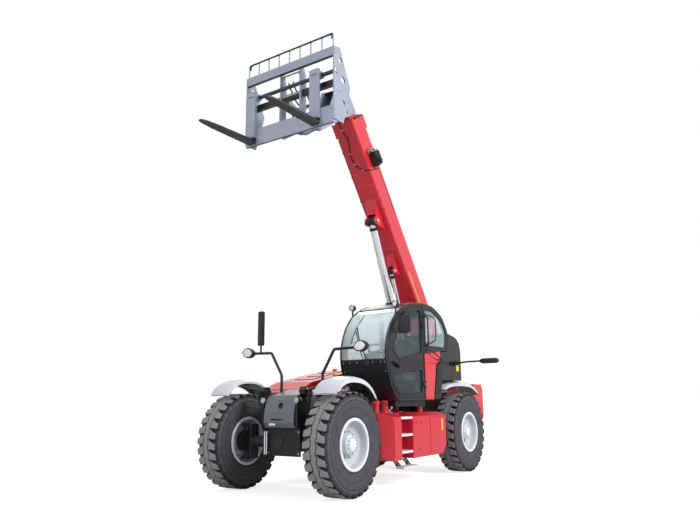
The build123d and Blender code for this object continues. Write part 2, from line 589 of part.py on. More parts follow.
with BuildPart() as cab_glass:
    with BuildSketch(side(CAB_LEFT - 12)) as pane_out:
        with BuildLine():
            Polyline(*cab_side, close=True)
        make_face()
        offset(amount=-12, kind=Kind.INTERSECTION, mode=Mode.REPLACE)
    extrude(pane_out.sketch, amount=CAB_LEFT - CAB_RIGHT - 24)
    with BuildSketch(side(CAB_LEFT - 12 - GLASS)) as pane_in:
        with BuildLine():
            Polyline(*cab_side, close=True)
        make_face()
        offset(amount=-12 - GLASS, kind=Kind.INTERSECTION, mode=Mode.REPLACE)
    extrude(pane_in.sketch, amount=CAB_LEFT - CAB_RIGHT - 24 - 2 * GLASS, mode=Mode.SUBTRACT)
    add(window_cuts.part, mode=Mode.INTERSECT)
save(cab_glass, "cab_glass")

DOOR_OUT = CAB_LEFT - 2
HINGE_X = -2070.0
HINGE_Y = CAB_LEFT + 12.0
HINGE_PIN = 5.0
HINGE_EYE = 9.5
HINGE_LEAF = 30.0
HINGE_HEIGHTS = (1500, 2450)
door_upper = [(-1098, 2007), (-1271, 1865), (-2018, 2000), (-2018, 2660), (-1950, 2700), (-1467, 2600), (-1232, 2289)]
door_lower = [(-1099, 1644), (-1092, 1503), (-1244, 1345), (-1990, 1355), (-2010, 1733)]
with BuildPart() as cab_door:
    slab(door_side, DOOR_OUT - DOOR_THICK, DOOR_OUT)
    slab(door_upper, DOOR_OUT - DOOR_THICK, DOOR_OUT, mode=Mode.SUBTRACT)
    slab(door_lower, DOOR_OUT - DOOR_THICK, DOOR_OUT, mode=Mode.SUBTRACT)
    # hinge leaves at the rear edge, latch handle near the front
    for hinge_z in HINGE_HEIGHTS:
        box(HINGE_X - 14, HINGE_X + 60, DOOR_OUT, HINGE_Y + HINGE_EYE, hinge_z - HINGE_LEAF, hinge_z + HINGE_LEAF)
        with BuildSketch(level(hinge_z - HINGE_LEAF)) as knuckle_bore:
            with Locations((HINGE_X, HINGE_Y)):
                Circle(HINGE_PIN + FIT)
        extrude(knuckle_bore.sketch, amount=2 * HINGE_LEAF, mode=Mode.SUBTRACT)
    slab([(-1060, 1806), (-1075, 1822), (-1252, 1750), (-1238, 1730)], DOOR_OUT, DOOR_OUT + 32)
save(cab_door, "cab_door")

with BuildPart() as door_glass:
    slab(door_upper, DOOR_OUT - 24, DOOR_OUT - 24 + GLASS)
    slab(door_lower, DOOR_OUT - 24, DOOR_OUT - 24 + GLASS)
save(door_glass, "door_glass")

with BuildPart() as door_hinges:
    for hinge_z in HINGE_HEIGHTS:
        with BuildSketch(level(hinge_z - HINGE_LEAF - 22)) as pin:
            with Locations((HINGE_X, HINGE_Y)):
                Circle(HINGE_PIN)
        extrude(pin.sketch, amount=2 * HINGE_LEAF + 44)
        # lugs above and below the door's leaf, rounded about the pin
        for low in (hinge_z - HINGE_LEAF - 22, hinge_z + HINGE_LEAF + 1):
            box(HINGE_X - 60, HINGE_X, CAB_LEFT, HINGE_Y + HINGE_EYE, low, low + 21)
            with BuildSketch(level(low)) as lug_end:
                with Locations((HINGE_X, HINGE_Y)):
                    Circle(HINGE_EYE)
            extrude(lug_end.sketch, amount=21)
save(door_hinges, "door_hinges")

SEAT_X = -1900.0
SEAT_Y = 715.0
with BuildPart() as seat:
    box(SEAT_X - 200, SEAT_X + 200, SEAT_Y - 150, SEAT_Y + 150, CAB_FLOOR + CAB_WALL, 1560)
    box(SEAT_X - 250, SEAT_X + 260, SEAT_Y - 250, SEAT_Y + 250, 1560, 1700)
    slab([(SEAT_X - 250, 1700), (SEAT_X - 130, 1700), (SEAT_X - 220, 2260), (SEAT_X - 310, 2260)],
         SEAT_Y - 230, SEAT_Y + 230)
save(seat, "seat")

with BuildPart() as console:
    slab([(-1150, 1425), (-1060, 1800), (-1180, 1830), (-1180, 1700), (-1330, CAB_FLOOR + CAB_WALL),
          (-1285, CAB_FLOOR + CAB_WALL)], SEAT_Y - 180, SEAT_Y + 180)
    wheel_plane = Plane(origin=at(-1330, SEAT_Y, 1985), x_dir=(0, 1, 0), z_dir=(-0.62, 0, 0.78))
    with BuildSketch(Plane(origin=at(-1150, SEAT_Y, 1760), x_dir=(0, 1, 0), z_dir=(-0.62, 0, 0.78))) as column:
        Circle(35)
    extrude(column.sketch, amount=292)
    with BuildSketch(wheel_plane) as steering:
        Circle(190)
        Circle(160, mode=Mode.SUBTRACT)
        Rectangle(330, 34)
        Circle(45)
    extrude(steering.sketch, amount=24)
save(console, "console")

with BuildPart() as rear_panel:
    slab([(-2412, 1262), (-2530, 1826), (-2716, 1893), (-2706, 2052), (-2930, 2062), (-3003, 2390), (-3130, 2360),
          (-3309, 2330), (-3440, 2240), (-3490, 2100), (-3480, 1580), (-2735, 1580), (-2650, 1275)], 560, 1110)
    for vent_x in (-3085, -3200):
        disc(vent_x, 1866, 42, 1070, 1115, mode=Mode.SUBTRACT)
    # tank it stands on, beside the frame and ahead of the steered wheel
    box(-2900, -2740, FRAME_HALF + FIT, 680, 820, 1600)
save(rear_panel, "rear_panel")

with BuildPart() as rear_mirror:
    pipe([(-3300, 1110 + FIT + 4, 1887), (-3300, 1190, 1887), (-3095, 1400, 1890), (-3095, 1660, 1890)], 20, 40)
    slab([(-3150, 1850), (-3150, 1950), (-3135, 1962), (-3055, 1962), (-3040, 1950), (-3040, 1850), (-3055, 1838),
          (-3135, 1838)], 1660, 1990)
    box(-3345, -3258, 1110 + FIT, 1122, 1850, 1925)
save(rear_mirror, "rear_mirror")

with BuildPart() as cab_mirror:
    slab([(1158, 2285), (1158, 2483), (1180, 2505), (1320, 2505), (1342, 2483), (1342, 2285), (1320, 2263),
          (1180, 2263)], -1250, -1205, plane=across)
    pipe([(-1228, 1250, 2495), (-1228, 1250, 2615), (-1400, DOOR_OUT + FIT + 12, 2562)], 10, 40)
    box(-1415, -1385, DOOR_OUT + FIT, DOOR_OUT + 20, 2546, 2576)
save(cab_mirror, "cab_mirror")

LIGHT_X = -1230.0
LIGHT_Z = 2713.0
with BuildPart() as roof_lights:
    for light_y in (CAB_RIGHT + 18, CAB_LEFT - 16):
        with BuildSketch(across(LIGHT_X - 35)) as lamp:
            with Locations((light_y, LIGHT_Z)):
                Circle(46)
        extrude(lamp.sketch, amount=62)
        box(LIGHT_X - 10, LIGHT_X + 10, light_y - 10, light_y + 10, 2571.2, LIGHT_Z - 30)
save(roof_lights, "roof_lights")

MIRROR_X = -290.0
MIRROR_ARM = 21.0
for name, hand in (("front_left_mirror", 1), ("front_right_mirror", -1)):
    with BuildPart() as mirror_arm:
        root_y = COVER_HALF + FIT
        pipe([(MIRROR_X, hand * root_y, 1330), (MIRROR_X, hand * 388, 1330), (MIRROR_X, hand * 388, 1640),
              (MIRROR_X, hand * 597, 1984), (MIRROR_X, hand * 990, 1994)], MIRROR_ARM, 45)
        with BuildSketch(across(MIRROR_X - 26)) as head:
            with BuildLine():
                inner_tip, outer_tip = (hand * 950, 1984), (hand * 1185, 2012)
                ThreePointArc(inner_tip, (hand * 1085, 2084), outer_tip)
                ThreePointArc(outer_tip, (hand * 1058, 1926), inner_tip)
            make_face()
        extrude(head.sketch, amount=62)
        if hand < 0:
            slab([(-862, 2125), (-862, 2635), (-848, 2650), (-770, 2650), (-756, 2635), (-756, 2125), (-770, 2110),
                  (-848, 2110)], MIRROR_X - 5, MIRROR_X + 35, plane=across)
            box(MIRROR_X, MIRROR_X + 20, -822, -802, 1995, 2120)
    save(mirror_arm, name)

# ---------------------------------------------------------------- boom
def ring(width, height, wall, s0, s1, rise=0):
    """A length of rectangular boom section, from s0 to s1."""
    with BuildSketch(boom_cross(s0)) as section:
        Rectangle(width + 2 * rise, height + 2 * rise)
        fillet(section.vertices(), radius=min(30, 0.1 * height))
        Rectangle(width - 2 * wall, height - 2 * wall, mode=Mode.SUBTRACT)
    extrude(section.sketch, amount=s1 - s0)


sections = []
width, height, wall = BASE_WIDTH, BASE_HEIGHT, BASE_WALL
for number in range(1, 5):
    sections.append((width, height, wall))
    width = width - 2 * (wall + SECTION_GAP)
    height = height - 2 * (wall + SECTION_GAP)
    wall = SECTION_WALL

CLEVIS_IN = 85.0
CLEVIS_PLATE = 25.0
COMP_CLEVIS_IN = 55.0
COMP_CLEVIS_PLATE = 18.0

for number, (width, height, wall) in enumerate(sections, start=1):
    base = number == 1
    start = BASE_START if base else SECTION_START + (number - 2) * SECTION_STEP
    end = BASE_END + (number - 1) * SECTION_STEP
    with BuildPart() as boom_section:
        ring(width, height, wall, start, end)
        if number < 4:
            next_width, next_height, next_wall = sections[number]
            # wear pads that carry the next section, inside the head
            lining = (width - next_width) / 2 - FIT
            ring(width, height, lining, end - PAD, end)
        if base:
            ring(width, height, wall, COLLAR_START, end, rise=COLLAR_RISE)
            # pivot cheeks and cross tube
            for hand in (1, -1):
                with BuildSketch(boom_side(max(hand * width / 2, hand * (width / 2 + 25)))) as cheek:
                    with BuildLine():
                        Polyline((-40, -PIVOT_BOSS + 5), (520, -height / 2 + 20), (520, height / 2 - 20),
                                 (-40, PIVOT_BOSS - 5), close=True)
                    make_face()
                    Circle(PIVOT_BOSS)
                extrude(cheek.sketch, amount=25)
            tube_half = FRAME_HALF - FRAME_PLATE - FIT
            disc(0, 0, PIVOT_PIN + 55, -tube_half, tube_half, plane=boom_side)
            disc(0, 0, PIVOT_PIN + FIT, -tube_half - 5, tube_half + 5, plane=boom_side, mode=Mode.SUBTRACT)
            # lift and compensation cylinder clevises under the section, with stub pins
            under = -height / 2 + 2
            for hand in (1, -1):
                slab([(3260, under), (3480, -455), (3560, -460), (3600, -430), (3610, -350), (3900, under)],
                     hand * CLEVIS_IN, hand * (CLEVIS_IN + CLEVIS_PLATE), plane=boom_side)
                disc(3520, -400, 30, hand * (CLEVIS_IN - FIT), hand * (CLEVIS_IN + CLEVIS_PLATE + 22),
                     plane=boom_side)
                slab([(2290, under), (2440, -405), (2490, -405), (2520, -350), (2760, under)],
                     hand * COMP_CLEVIS_IN, hand * (COMP_CLEVIS_IN + COMP_CLEVIS_PLATE), plane=boom_side)
                disc(2466, -365, 22, hand * (COMP_CLEVIS_IN - FIT),
                     hand * (COMP_CLEVIS_IN + COMP_CLEVIS_PLATE + 14), plane=boom_side)
            slab([(3640, -300), (3640, -330), (3900, under), (3860, under)], -CLEVIS_IN, CLEVIS_IN,
                 plane=boom_side)
            slab([(2545, -300), (2550, -325), (2760, under), (2720, under)], -COMP_CLEVIS_IN, COMP_CLEVIS_IN,
                 plane=boom_side)
        else:
            # rear wear pads that ride inside the section outside it
            outer_width, outer_height, outer_wall = sections[number - 2]
            rise = (outer_width - 2 * outer_wall - width) / 2 - FIT
            ring(width, height, wall, start, start + PAD, rise=rise)
    save(boom_section, "boom_section_" + str(number))

# nose: two dropped plates joined by a top web and a pin tube
NOSE_IN = sections[3][0] / 2
nose_end = BASE_END + 3 * SECTION_STEP
turn = math.radians(BOOM_ANGLE)
dx, dz = TOOL_X - PIVOT_X, TOOL_Z - PIVOT_Z
TOOL_S = dx * math.cos(turn) + dz * math.sin(turn)
TOOL_T = -dx * math.sin(turn) + dz * math.cos(turn)
nose_side = [(nose_end - 10 + FIT, sections[3][1] / 2), (nose_end + 333, 105), (nose_end + 493, -20),
             (nose_end + 533, -260), (TOOL_S + 45, TOOL_T + 420), (TOOL_S + 60, TOOL_T - 20), (TOOL_S + 60, TOOL_T - 85),
             (TOOL_S - 60, TOOL_T - 85), (TOOL_S - 120, TOOL_T + 40), (nose_end + 10, -260),
             (nose_end - 10 + FIT, -sections[3][1] / 2)]
with BuildPart() as boom_nose:
    for hand in (1, -1):
        slab(nose_side, hand * NOSE_IN, hand * (NOSE_IN + NOSE_SKIN), plane=boom_side)
    # end plate against the innermost section, top and front webs
    with BuildSketch(boom_cross(nose_end + FIT)) as end_plate:
        Rectangle(2 * NOSE_IN, sections[3][1])
    extrude(end_plate.sketch, amount=20)
    slab([(nose_end + 20, 112), (nose_end + 328, 95), (nose_end + 478, -25), (nose_end + 508, -230),
          (nose_end + 493, -230), (nose_end + 460, -33), (nose_end + 318, 77), (nose_end + 20, 94)],
         -NOSE_IN, NOSE_IN, plane=boom_side)
    disc(TOOL_S - 60, TOOL_T + 1060, 25, -NOSE_IN - NOSE_SKIN - 12, NOSE_IN + NOSE_SKIN + 12, plane=boom_side)
    disc(TOOL_S, TOOL_T, TOOL_BOSS - 25, -NOSE_IN, NOSE_IN, plane=boom_side)
    disc(TOOL_S, TOOL_T, TOOL_PIN + FIT, -NOSE_IN - 60, NOSE_IN + 60, plane=boom_side, mode=Mode.SUBTRACT)
save(boom_nose, "boom_nose")

# ---------------------------------------------------------------- hydraulic cylinders
TILT_HALF = 50.0
TILT_BASE = on_boom(TOOL_S - 60, TOOL_T + 1060)
TILT_EYE = (TOOL_X + 100, TOOL_Z + 320)
CYLINDERS = [
    # name, base, eye, barrel radius, bore, rod radius, eye radius, half width, base pin, eye pin, barrel, rod
    ("lift", LIFT_BASE, LIFT_EYE, 95.0, 82.0, 70.0, 60.0, 79.5, 40.0, 30.0, 2230.0, 2280.0),
    ("compensation", COMP_BASE, COMP_EYE, 52.0, 42.0, 32.0, 45.0, 53.5, 25.0, 22.0, 1350.0, 1460.0),
    ("tilt", TILT_BASE, TILT_EYE, 48.0, 38.0, 28.0, 45.0, TILT_HALF, 25.0, 25.0, 640.0, 605.0),
]
for name, base, eye, barrel_r, bore, rod_r, eye_r, half, base_pin, eye_pin, barrel_len, rod_len in CYLINDERS:
    run = Vector(eye[0] - base[0], 0, eye[1] - base[1])
    reach = run.length
    line = run.normalized()
    eye_half = half if name != "lift" else CLEVIS_IN - 0.5
    if name == "compensation":
        eye_half = COMP_CLEVIS_IN - 0.5

    def station(length):
        return Plane(origin=at(base[0], 0, base[1]) + line * length, x_dir=(0, 1, 0), z_dir=line)

    with BuildPart() as barrel:
        with BuildSketch(station(0)) as tube:
            Circle(barrel_r)
        extrude(tube.sketch, amount=barrel_len)
        with BuildSketch(station(eye_r + 60)) as bore_cut:
            Circle(bore)
        extrude(bore_cut.sketch, amount=barrel_len - eye_r - 60 - 60, mode=Mode.SUBTRACT)
        with BuildSketch(station(barrel_len - 70)) as gland_cut:
            Circle(rod_r + FIT)
        extrude(gland_cut.sketch, amount=80, mode=Mode.SUBTRACT)
        # flats beside the base eye
        with BuildSketch(station(-barrel_r - 5)) as flats:
            for hand in (1, -1):
                with Locations((hand * (half + barrel_r), 0)):
                    Rectangle(2 * barrel_r, 4 * barrel_r)
        extrude(flats.sketch, amount=2 * barrel_r + 35, mode=Mode.SUBTRACT)
        disc(base[0], base[1], barrel_r * 0.9, -half, half)
        disc(base[0], base[1], base_pin + FIT, -half - 5, half + 5, mode=Mode.SUBTRACT)
    save(barrel, name + "_cylinder_barrel")

    with BuildPart() as rod:
        with BuildSketch(station(reach - rod_len)) as piston:
            Circle(bore - FIT)
        extrude(piston.sketch, amount=60)
        with BuildSketch(station(reach - rod_len)) as shank:
            Circle(rod_r)
        extrude(shank.sketch, amount=rod_len - 1.8 * eye_r)
        with BuildSketch(station(reach - 1.8 * eye_r)) as neck:
            Circle(min(rod_r, 0.85 * eye_r))
        extrude(neck.sketch, amount=1.2 * eye_r)
        disc(eye[0], eye[1], eye_r, -eye_half, eye_half)
        disc(eye[0], eye[1], eye_pin + FIT, -eye_half - 60, eye_half + 60, mode=Mode.SUBTRACT)
    save(rod, name + "_cylinder_rod")

# ---------------------------------------------------------------- fork carriage
side_plate = [(CARRIAGE_FRONT, 5355), (CARRIAGE_FRONT, CARRIAGE_TOP), (-54, CARRIAGE_TOP + 40),
              (-329, 5994), (-138, 5355)]
with BuildPart() as fork_carriage:
    for hand in (1, -1):
        edge = hand * CARRIAGE_HALF
        slab(side_plate, edge - hand * 20, edge)
        for hole_x, hole_z, hole_r in ((-60, 6372, 45), (-130, 6069, 55), (-140, 5693, 40)):
            disc(hole_x, hole_z, hole_r, edge - hand * 30, edge + hand * 10, mode=Mode.SUBTRACT)
    span = CARRIAGE_HALF - 20
    box(CARRIAGE_FRONT - 60, CARRIAGE_FRONT, -span, span, CARRIAGE_TOP - 145, CARRIAGE_TOP)
    box(CARRIAGE_FRONT - 40, CARRIAGE_FRONT, -span, span, CARRIAGE_BOTTOM, CARRIAGE_BOTTOM + 280)
    box(-60, 0, -span, span, 5965, 6065)
    disc(SHAFT_X, SHAFT_Z, SHAFT_RADIUS, -span, span)
    # inner uprights that carry the tool pin and the tilt pin
    ear_in = NOSE_IN + NOSE_SKIN + EAR_GAP
    for hand in (1, -1):
        slab([(CARRIAGE_FRONT - 40, CARRIAGE_BOTTOM + 40), (CARRIAGE_FRONT - 60, CARRIAGE_TOP - 20), (-30, 6470),
              (-78, 6330), (-95, 6150), (-230, 6070), (TILT_EYE[0] - 60, TILT_EYE[1] + 30),
              (TILT_EYE[0] - 65, TILT_EYE[1] - 50), (TOOL_X - 95, TOOL_Z + 40), (TOOL_X - 70, TOOL_Z - 70),
              (TOOL_X + 70, TOOL_Z - 95), (-60, CARRIAGE_BOTTOM + 40)], hand * ear_in, hand * (ear_in + 25))
        slab([(-85, 5590), (-85, 6040), (-140, 6010), (-225, 5920), (-290, 5760), (-240, 5630), (-140, 5570)],
             hand * (ear_in - 5), hand * (ear_in + 30), mode=Mode.SUBTRACT, rounding=20)
    disc(TOOL_X, TOOL_Z, TOOL_PIN, -ear_in - 40, ear_in + 40)
    for hand in (1, -1):
        # stub pins either side of the tilt rod's eye
        disc(TILT_EYE[0], TILT_EYE[1], 25, hand * (TILT_HALF + FIT), hand * (ear_in + 40))
    disc(-20, 6015, 50, -ear_in - 10, ear_in + 10)
    # arch between the uprights, under the top beam
    arch = [(-ear_in, CARRIAGE_TOP - 150), (-ear_in, 6160), (-ear_in + 28, 6160), (-ear_in + 28, 6330),
            (-ear_in + 75, 6372), (ear_in - 75, 6372), (ear_in - 28, 6330), (ear_in - 28, 6160), (ear_in, 6160),
            (ear_in, CARRIAGE_TOP - 150)]
    slab(arch, 12, 24, plane=across)
save(fork_carriage, "fork_carriage")

GUARD_TUBE = 12.0
GUARD_BARS = 7
with BuildPart() as load_guard:
    guard_x = CARRIAGE_FRONT - 30
    guard_y = CARRIAGE_HALF - 20 - GUARD_TUBE - FIT
    foot = CARRIAGE_TOP + FIT
    rail = GUARD_TOP - GUARD_TUBE
    pipe([(guard_x, guard_y, foot), (guard_x, guard_y, rail), (guard_x, -guard_y, rail), (guard_x, -guard_y, foot)],
         GUARD_TUBE, 45)
    for bar in range(1, GUARD_BARS + 1):
        bar_y = guard_y * (2 * bar / (GUARD_BARS + 1) - 1)
        box(guard_x - 6, guard_x + 6, bar_y - 8, bar_y + 8, foot, rail)
save(load_guard, "load_guard")

for name, fork_y in FORK_PLACES:
    shank_back = CARRIAGE_FRONT + FIT
    tip = CARRIAGE_FRONT + FORK_LENGTH
    half = FORK_WIDTH / 2
    with BuildPart() as fork:
        slab([(shank_back, FORK_BOTTOM), (shank_back, FORK_BOTTOM + 90), (shank_back + 55, FORK_BOTTOM + 90),
              (shank_back + 130, FORK_BOTTOM + FORK_THICK), (tip, FORK_BOTTOM + 16), (tip, FORK_BOTTOM)],
             fork_y - half, fork_y + half)
        # the tine narrows to a rounded tip
        for edge in (1, -1):
            slab([(tip - FORK_TAPER, fork_y + edge * half), (tip - 70, fork_y + edge * (half - 20)),
                  (tip - 22, fork_y + edge * (half - 36)), (tip + 5, fork_y + edge * 14),
                  (tip + 5, fork_y + edge * (half + 5)), (tip - FORK_TAPER, fork_y + edge * (half + 5))],
                 FORK_BOTTOM - 5, FORK_BOTTOM + FORK_THICK + 5, plane=level, mode=Mode.SUBTRACT)
        slab([(shank_back, FORK_BOTTOM + 60), (shank_back, 6235), (shank_back + 50, 6235),
              (shank_back + 50, FORK_BOTTOM + 60)], fork_y - SHANK_WIDTH / 2, fork_y + SHANK_WIDTH / 2)
        # hanger eye round the shaft
        disc(SHAFT_X, SHAFT_Z, SHAFT_RADIUS + 24, fork_y - half, fork_y + half)
        box(SHAFT_X, shank_back + 1, fork_y - half, fork_y + half, SHAFT_Z - 50, SHAFT_Z + 50)
        disc(SHAFT_X, SHAFT_Z, SHAFT_RADIUS + FIT, fork_y - SHANK_WIDTH, fork_y + SHANK_WIDTH,
             mode=Mode.SUBTRACT)
    save(fork, name)
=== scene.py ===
import math
from contextlib import contextmanager
from functools import reduce

import bmesh
import bpy
import numpy as np
from mathutils import Matrix, Vector


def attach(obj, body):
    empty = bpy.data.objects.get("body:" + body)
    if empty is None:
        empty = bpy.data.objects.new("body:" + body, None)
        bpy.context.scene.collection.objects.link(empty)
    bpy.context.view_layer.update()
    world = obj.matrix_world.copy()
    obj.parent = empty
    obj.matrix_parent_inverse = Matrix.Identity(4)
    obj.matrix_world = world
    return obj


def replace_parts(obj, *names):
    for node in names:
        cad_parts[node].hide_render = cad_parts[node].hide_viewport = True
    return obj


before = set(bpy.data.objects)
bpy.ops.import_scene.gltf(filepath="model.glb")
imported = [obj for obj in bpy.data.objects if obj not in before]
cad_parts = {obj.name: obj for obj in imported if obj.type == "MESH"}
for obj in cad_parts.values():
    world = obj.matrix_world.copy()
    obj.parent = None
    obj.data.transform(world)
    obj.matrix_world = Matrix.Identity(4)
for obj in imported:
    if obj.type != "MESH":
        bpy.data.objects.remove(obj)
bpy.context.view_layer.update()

# Everything is laid out in machine millimetres, as in the CAD: x forward from the front axle,
# y to the left from the centre plane, z up. M() turns such a point into the frame's metres.
ORIGIN = (-1848.0, 402.5)        # x and y of the frame's origin
PIVOT = (-4750.0, 1875.0)        # x and z of the boom's pivot
TURN = math.radians(53.5)        # slope of the boom
TRACK_HALF, AXLE_Z = 955, 685
WHEELS = (("front_left", 0.0, 1), ("front_right", 0.0, -1), ("rear_left", -3700.0, 1), ("rear_right", -3700.0, -1))
HANDS = ((1, "left"), (-1, "right"))
BOTH = (1, -1)
FORE, BACK = Vector((1, 0, 0)), Vector((-1, 0, 0))
LEFT, RIGHT = Vector((0, 1, 0)), Vector((0, -1, 0))
UPW = Vector((0, 0, 1))
ALONG = Vector((math.cos(TURN), 0, math.sin(TURN)))
SQUARE = Vector((-math.sin(TURN), 0, math.cos(TURN)))
# the two directions of an outline and the one it is pushed along
SIDE_LEFT, SIDE_RIGHT = (FORE, UPW, LEFT), (FORE, UPW, RIGHT)
FACING_FORE, FACING_BACK = (LEFT, UPW, FORE), (LEFT, UPW, BACK)
BOOM_LEFT = (ALONG, SQUARE, LEFT)
scene = bpy.context.scene


def M(x, y, z):
    return Vector(((x - ORIGIN[0]) / 1000, (y - ORIGIN[1]) / 1000, z / 1000))


def boom_xz(s, t):
    """x and z of a point of the boom: s along it, t square to it."""
    return (PIVOT[0] + s * math.cos(TURN) - t * math.sin(TURN), PIVOT[1] + s * math.sin(TURN) + t * math.cos(TURN))


def B(s, t, y):
    x, z = boom_xz(s, t)
    return M(x, y, z)


def link(obj):
    scene.collection.objects.link(obj)
    return obj


# ------------------------------------------------------------------ shader nodes
def node(tree, kind, inputs=None, **settings):
    """A new shader node; inputs gives each socket a value or another node's output."""
    made = tree.nodes.new("ShaderNode" + kind)
    for key, value in settings.items():
        setattr(made, key, value)
    for key, value in (inputs or {}).items():
        if isinstance(value, bpy.types.NodeSocket):
            tree.links.new(value, made.inputs[key])
        else:
            made.inputs[key].default_value = value
    return made


def calc(tree, operation, *values, clamp=False):
    return node(tree, "Math", dict(enumerate(values)), operation=operation, use_clamp=clamp).outputs[0]


def ramp(tree, value, low, high, first, last):
    """A colour that runs from first to last while value goes from low to high."""
    made = node(tree, "ValToRGB", {0: value})
    stops = made.color_ramp.elements
    stops[0].position, stops[1].position = low, high
    stops[0].color, stops[1].color = (*first, 1), (*last, 1)
    return made.outputs["Color"]


def rescale(tree, value, low, high, first=0.0, last=1.0):
    """A number that runs from first to last while value goes from low to high."""
    limits = {"Value": value, "From Min": low, "From Max": high, "To Min": first, "To Max": last}
    return node(tree, "MapRange", limits).outputs[0]


def lay_over(tree, mask, base, tone):
    """base, with the colour tone over it where mask is 1."""
    return node(tree, "Mix", {"Factor": mask, "A": base, "B": (*tone, 1)}, data_type="RGBA").outputs["Result"]


def bump(tree, bsdf, height, strength, distance):
    made = node(tree, "Bump", {"Strength": strength, "Distance": distance, "Height": height})
    tree.links.new(made.outputs[0], bsdf.inputs["Normal"])


def object_coordinates(tree):
    return node(tree, "TexCoord").outputs["Object"]


def split(tree, vector):
    return node(tree, "SeparateXYZ", {0: vector}).outputs


# ------------------------------------------------------------------ camera, lamps and floor
YAW, PITCH, ROLL = 0.5964, 0.2118, -0.010
CAMERA_AT = (7192.9, 5968.3, 1262.4)
FOCAL_LENGTH, FRAME_WIDTH, SENSOR = 632.1, 700, 36      # the first two in pixels of a 700 wide frame

camera_data = bpy.data.cameras.new("camera")
camera = link(bpy.data.objects.new("camera", camera_data))
ahead = Vector((-math.cos(YAW) * math.cos(PITCH), -math.sin(YAW) * math.cos(PITCH), math.sin(PITCH)))
level = Vector((-math.sin(YAW), math.cos(YAW), 0))
above = level.cross(ahead)
across = math.cos(ROLL) * level + math.sin(ROLL) * above
upright = -math.sin(ROLL) * level + math.cos(ROLL) * above
camera.matrix_world = Matrix((across, upright, -ahead)).transposed().to_4x4()
camera.location = M(*CAMERA_AT)
camera_data.sensor_width = SENSOR
camera_data.lens = FOCAL_LENGTH / FRAME_WIDTH * SENSOR
camera_data.clip_end = 400
bpy.context.scene.camera = camera
bpy.context.scene.view_settings.view_transform = "Standard"

# name, place, aim, power and size
LAMPS = (("key", (1.0, 15.0, 10.0), (-1.0, 0.0, 3.0), 2300, 5),
         ("fill", (13.0, -1.0, 5.0), (-1.0, 0.0, 2.0), 380, 7),
         ("back", (-12.0, -7.0, 12.0), (-2.0, 0.0, 3.0), 800, 8))
for name, place, aim, power, size in LAMPS:
    data = bpy.data.lights.new(name, "AREA")
    data.energy, data.size = power, size
    lamp = link(bpy.data.objects.new(name, data))
    lamp.location = place
    lamp.rotation_euler = (Vector(aim) - Vector(place)).to_track_quat("-Z", "Y").to_euler()

# soft light on the machine, and white wherever the world itself is seen, mirrored or seen through glass
world = bpy.data.worlds.new("studio")
scene.world = world
world.use_nodes = True
tree = world.node_tree
tree.nodes.clear()
rays = node(tree, "LightPath").outputs
direct = calc(tree, "ADD", rays["Is Camera Ray"], rays["Is Glossy Ray"])
seen = calc(tree, "ADD", direct, rays["Is Transmission Ray"], clamp=True)
ambient = node(tree, "Background", {"Color": (0.93, 0.96, 1.0, 1), "Strength": 0.55}).outputs[0]
white = node(tree, "Background", {"Color": (1, 1, 1, 1)}).outputs[0]
node(tree, "OutputWorld", {0: node(tree, "MixShader", {0: seen, 1: ambient, 2: white}).outputs[0]})

# pale floor that glows for the camera only
FLOOR_HALF, FLOOR_Z = 150, -0.001
floor_mat = bpy.data.materials.new("floor_pale")
floor_mat.use_nodes = True
tree = floor_mat.node_tree
tree.nodes.clear()
matt = node(tree, "BsdfDiffuse", {"Color": (0.62, 0.62, 0.62, 1)}).outputs[0]
glow = node(tree, "Emission", {"Strength": 0.74}).outputs[0]
both = node(tree, "AddShader", {0: matt, 1: glow}).outputs[0]
seen = node(tree, "LightPath").outputs["Is Camera Ray"]
node(tree, "OutputMaterial", {0: node(tree, "MixShader", {0: seen, 1: matt, 2: both}).outputs[0]})
floor_mesh = bpy.data.meshes.new("floor")
corners = ((-1, -1), (1, -1), (1, 1), (-1, 1))
floor_mesh.from_pydata([(x * FLOOR_HALF, y * FLOOR_HALF, FLOOR_Z) for x, y in corners], [], [(0, 1, 2, 3)])
floor_mesh.materials.append(floor_mat)
floor = link(bpy.data.objects.new("floor", floor_mesh))


# ------------------------------------------------------------------ materials
def principled(name, **values):
    """A material with its shader; values name the shader's sockets, with _ for a space."""
    mat = bpy.data.materials.new(name)
    mat.use_nodes = True
    bsdf = mat.node_tree.nodes["Principled BSDF"]
    for key, value in values.items():
        bsdf.inputs[key.replace("_", " ")].default_value = value
    return mat, mat.node_tree, bsdf


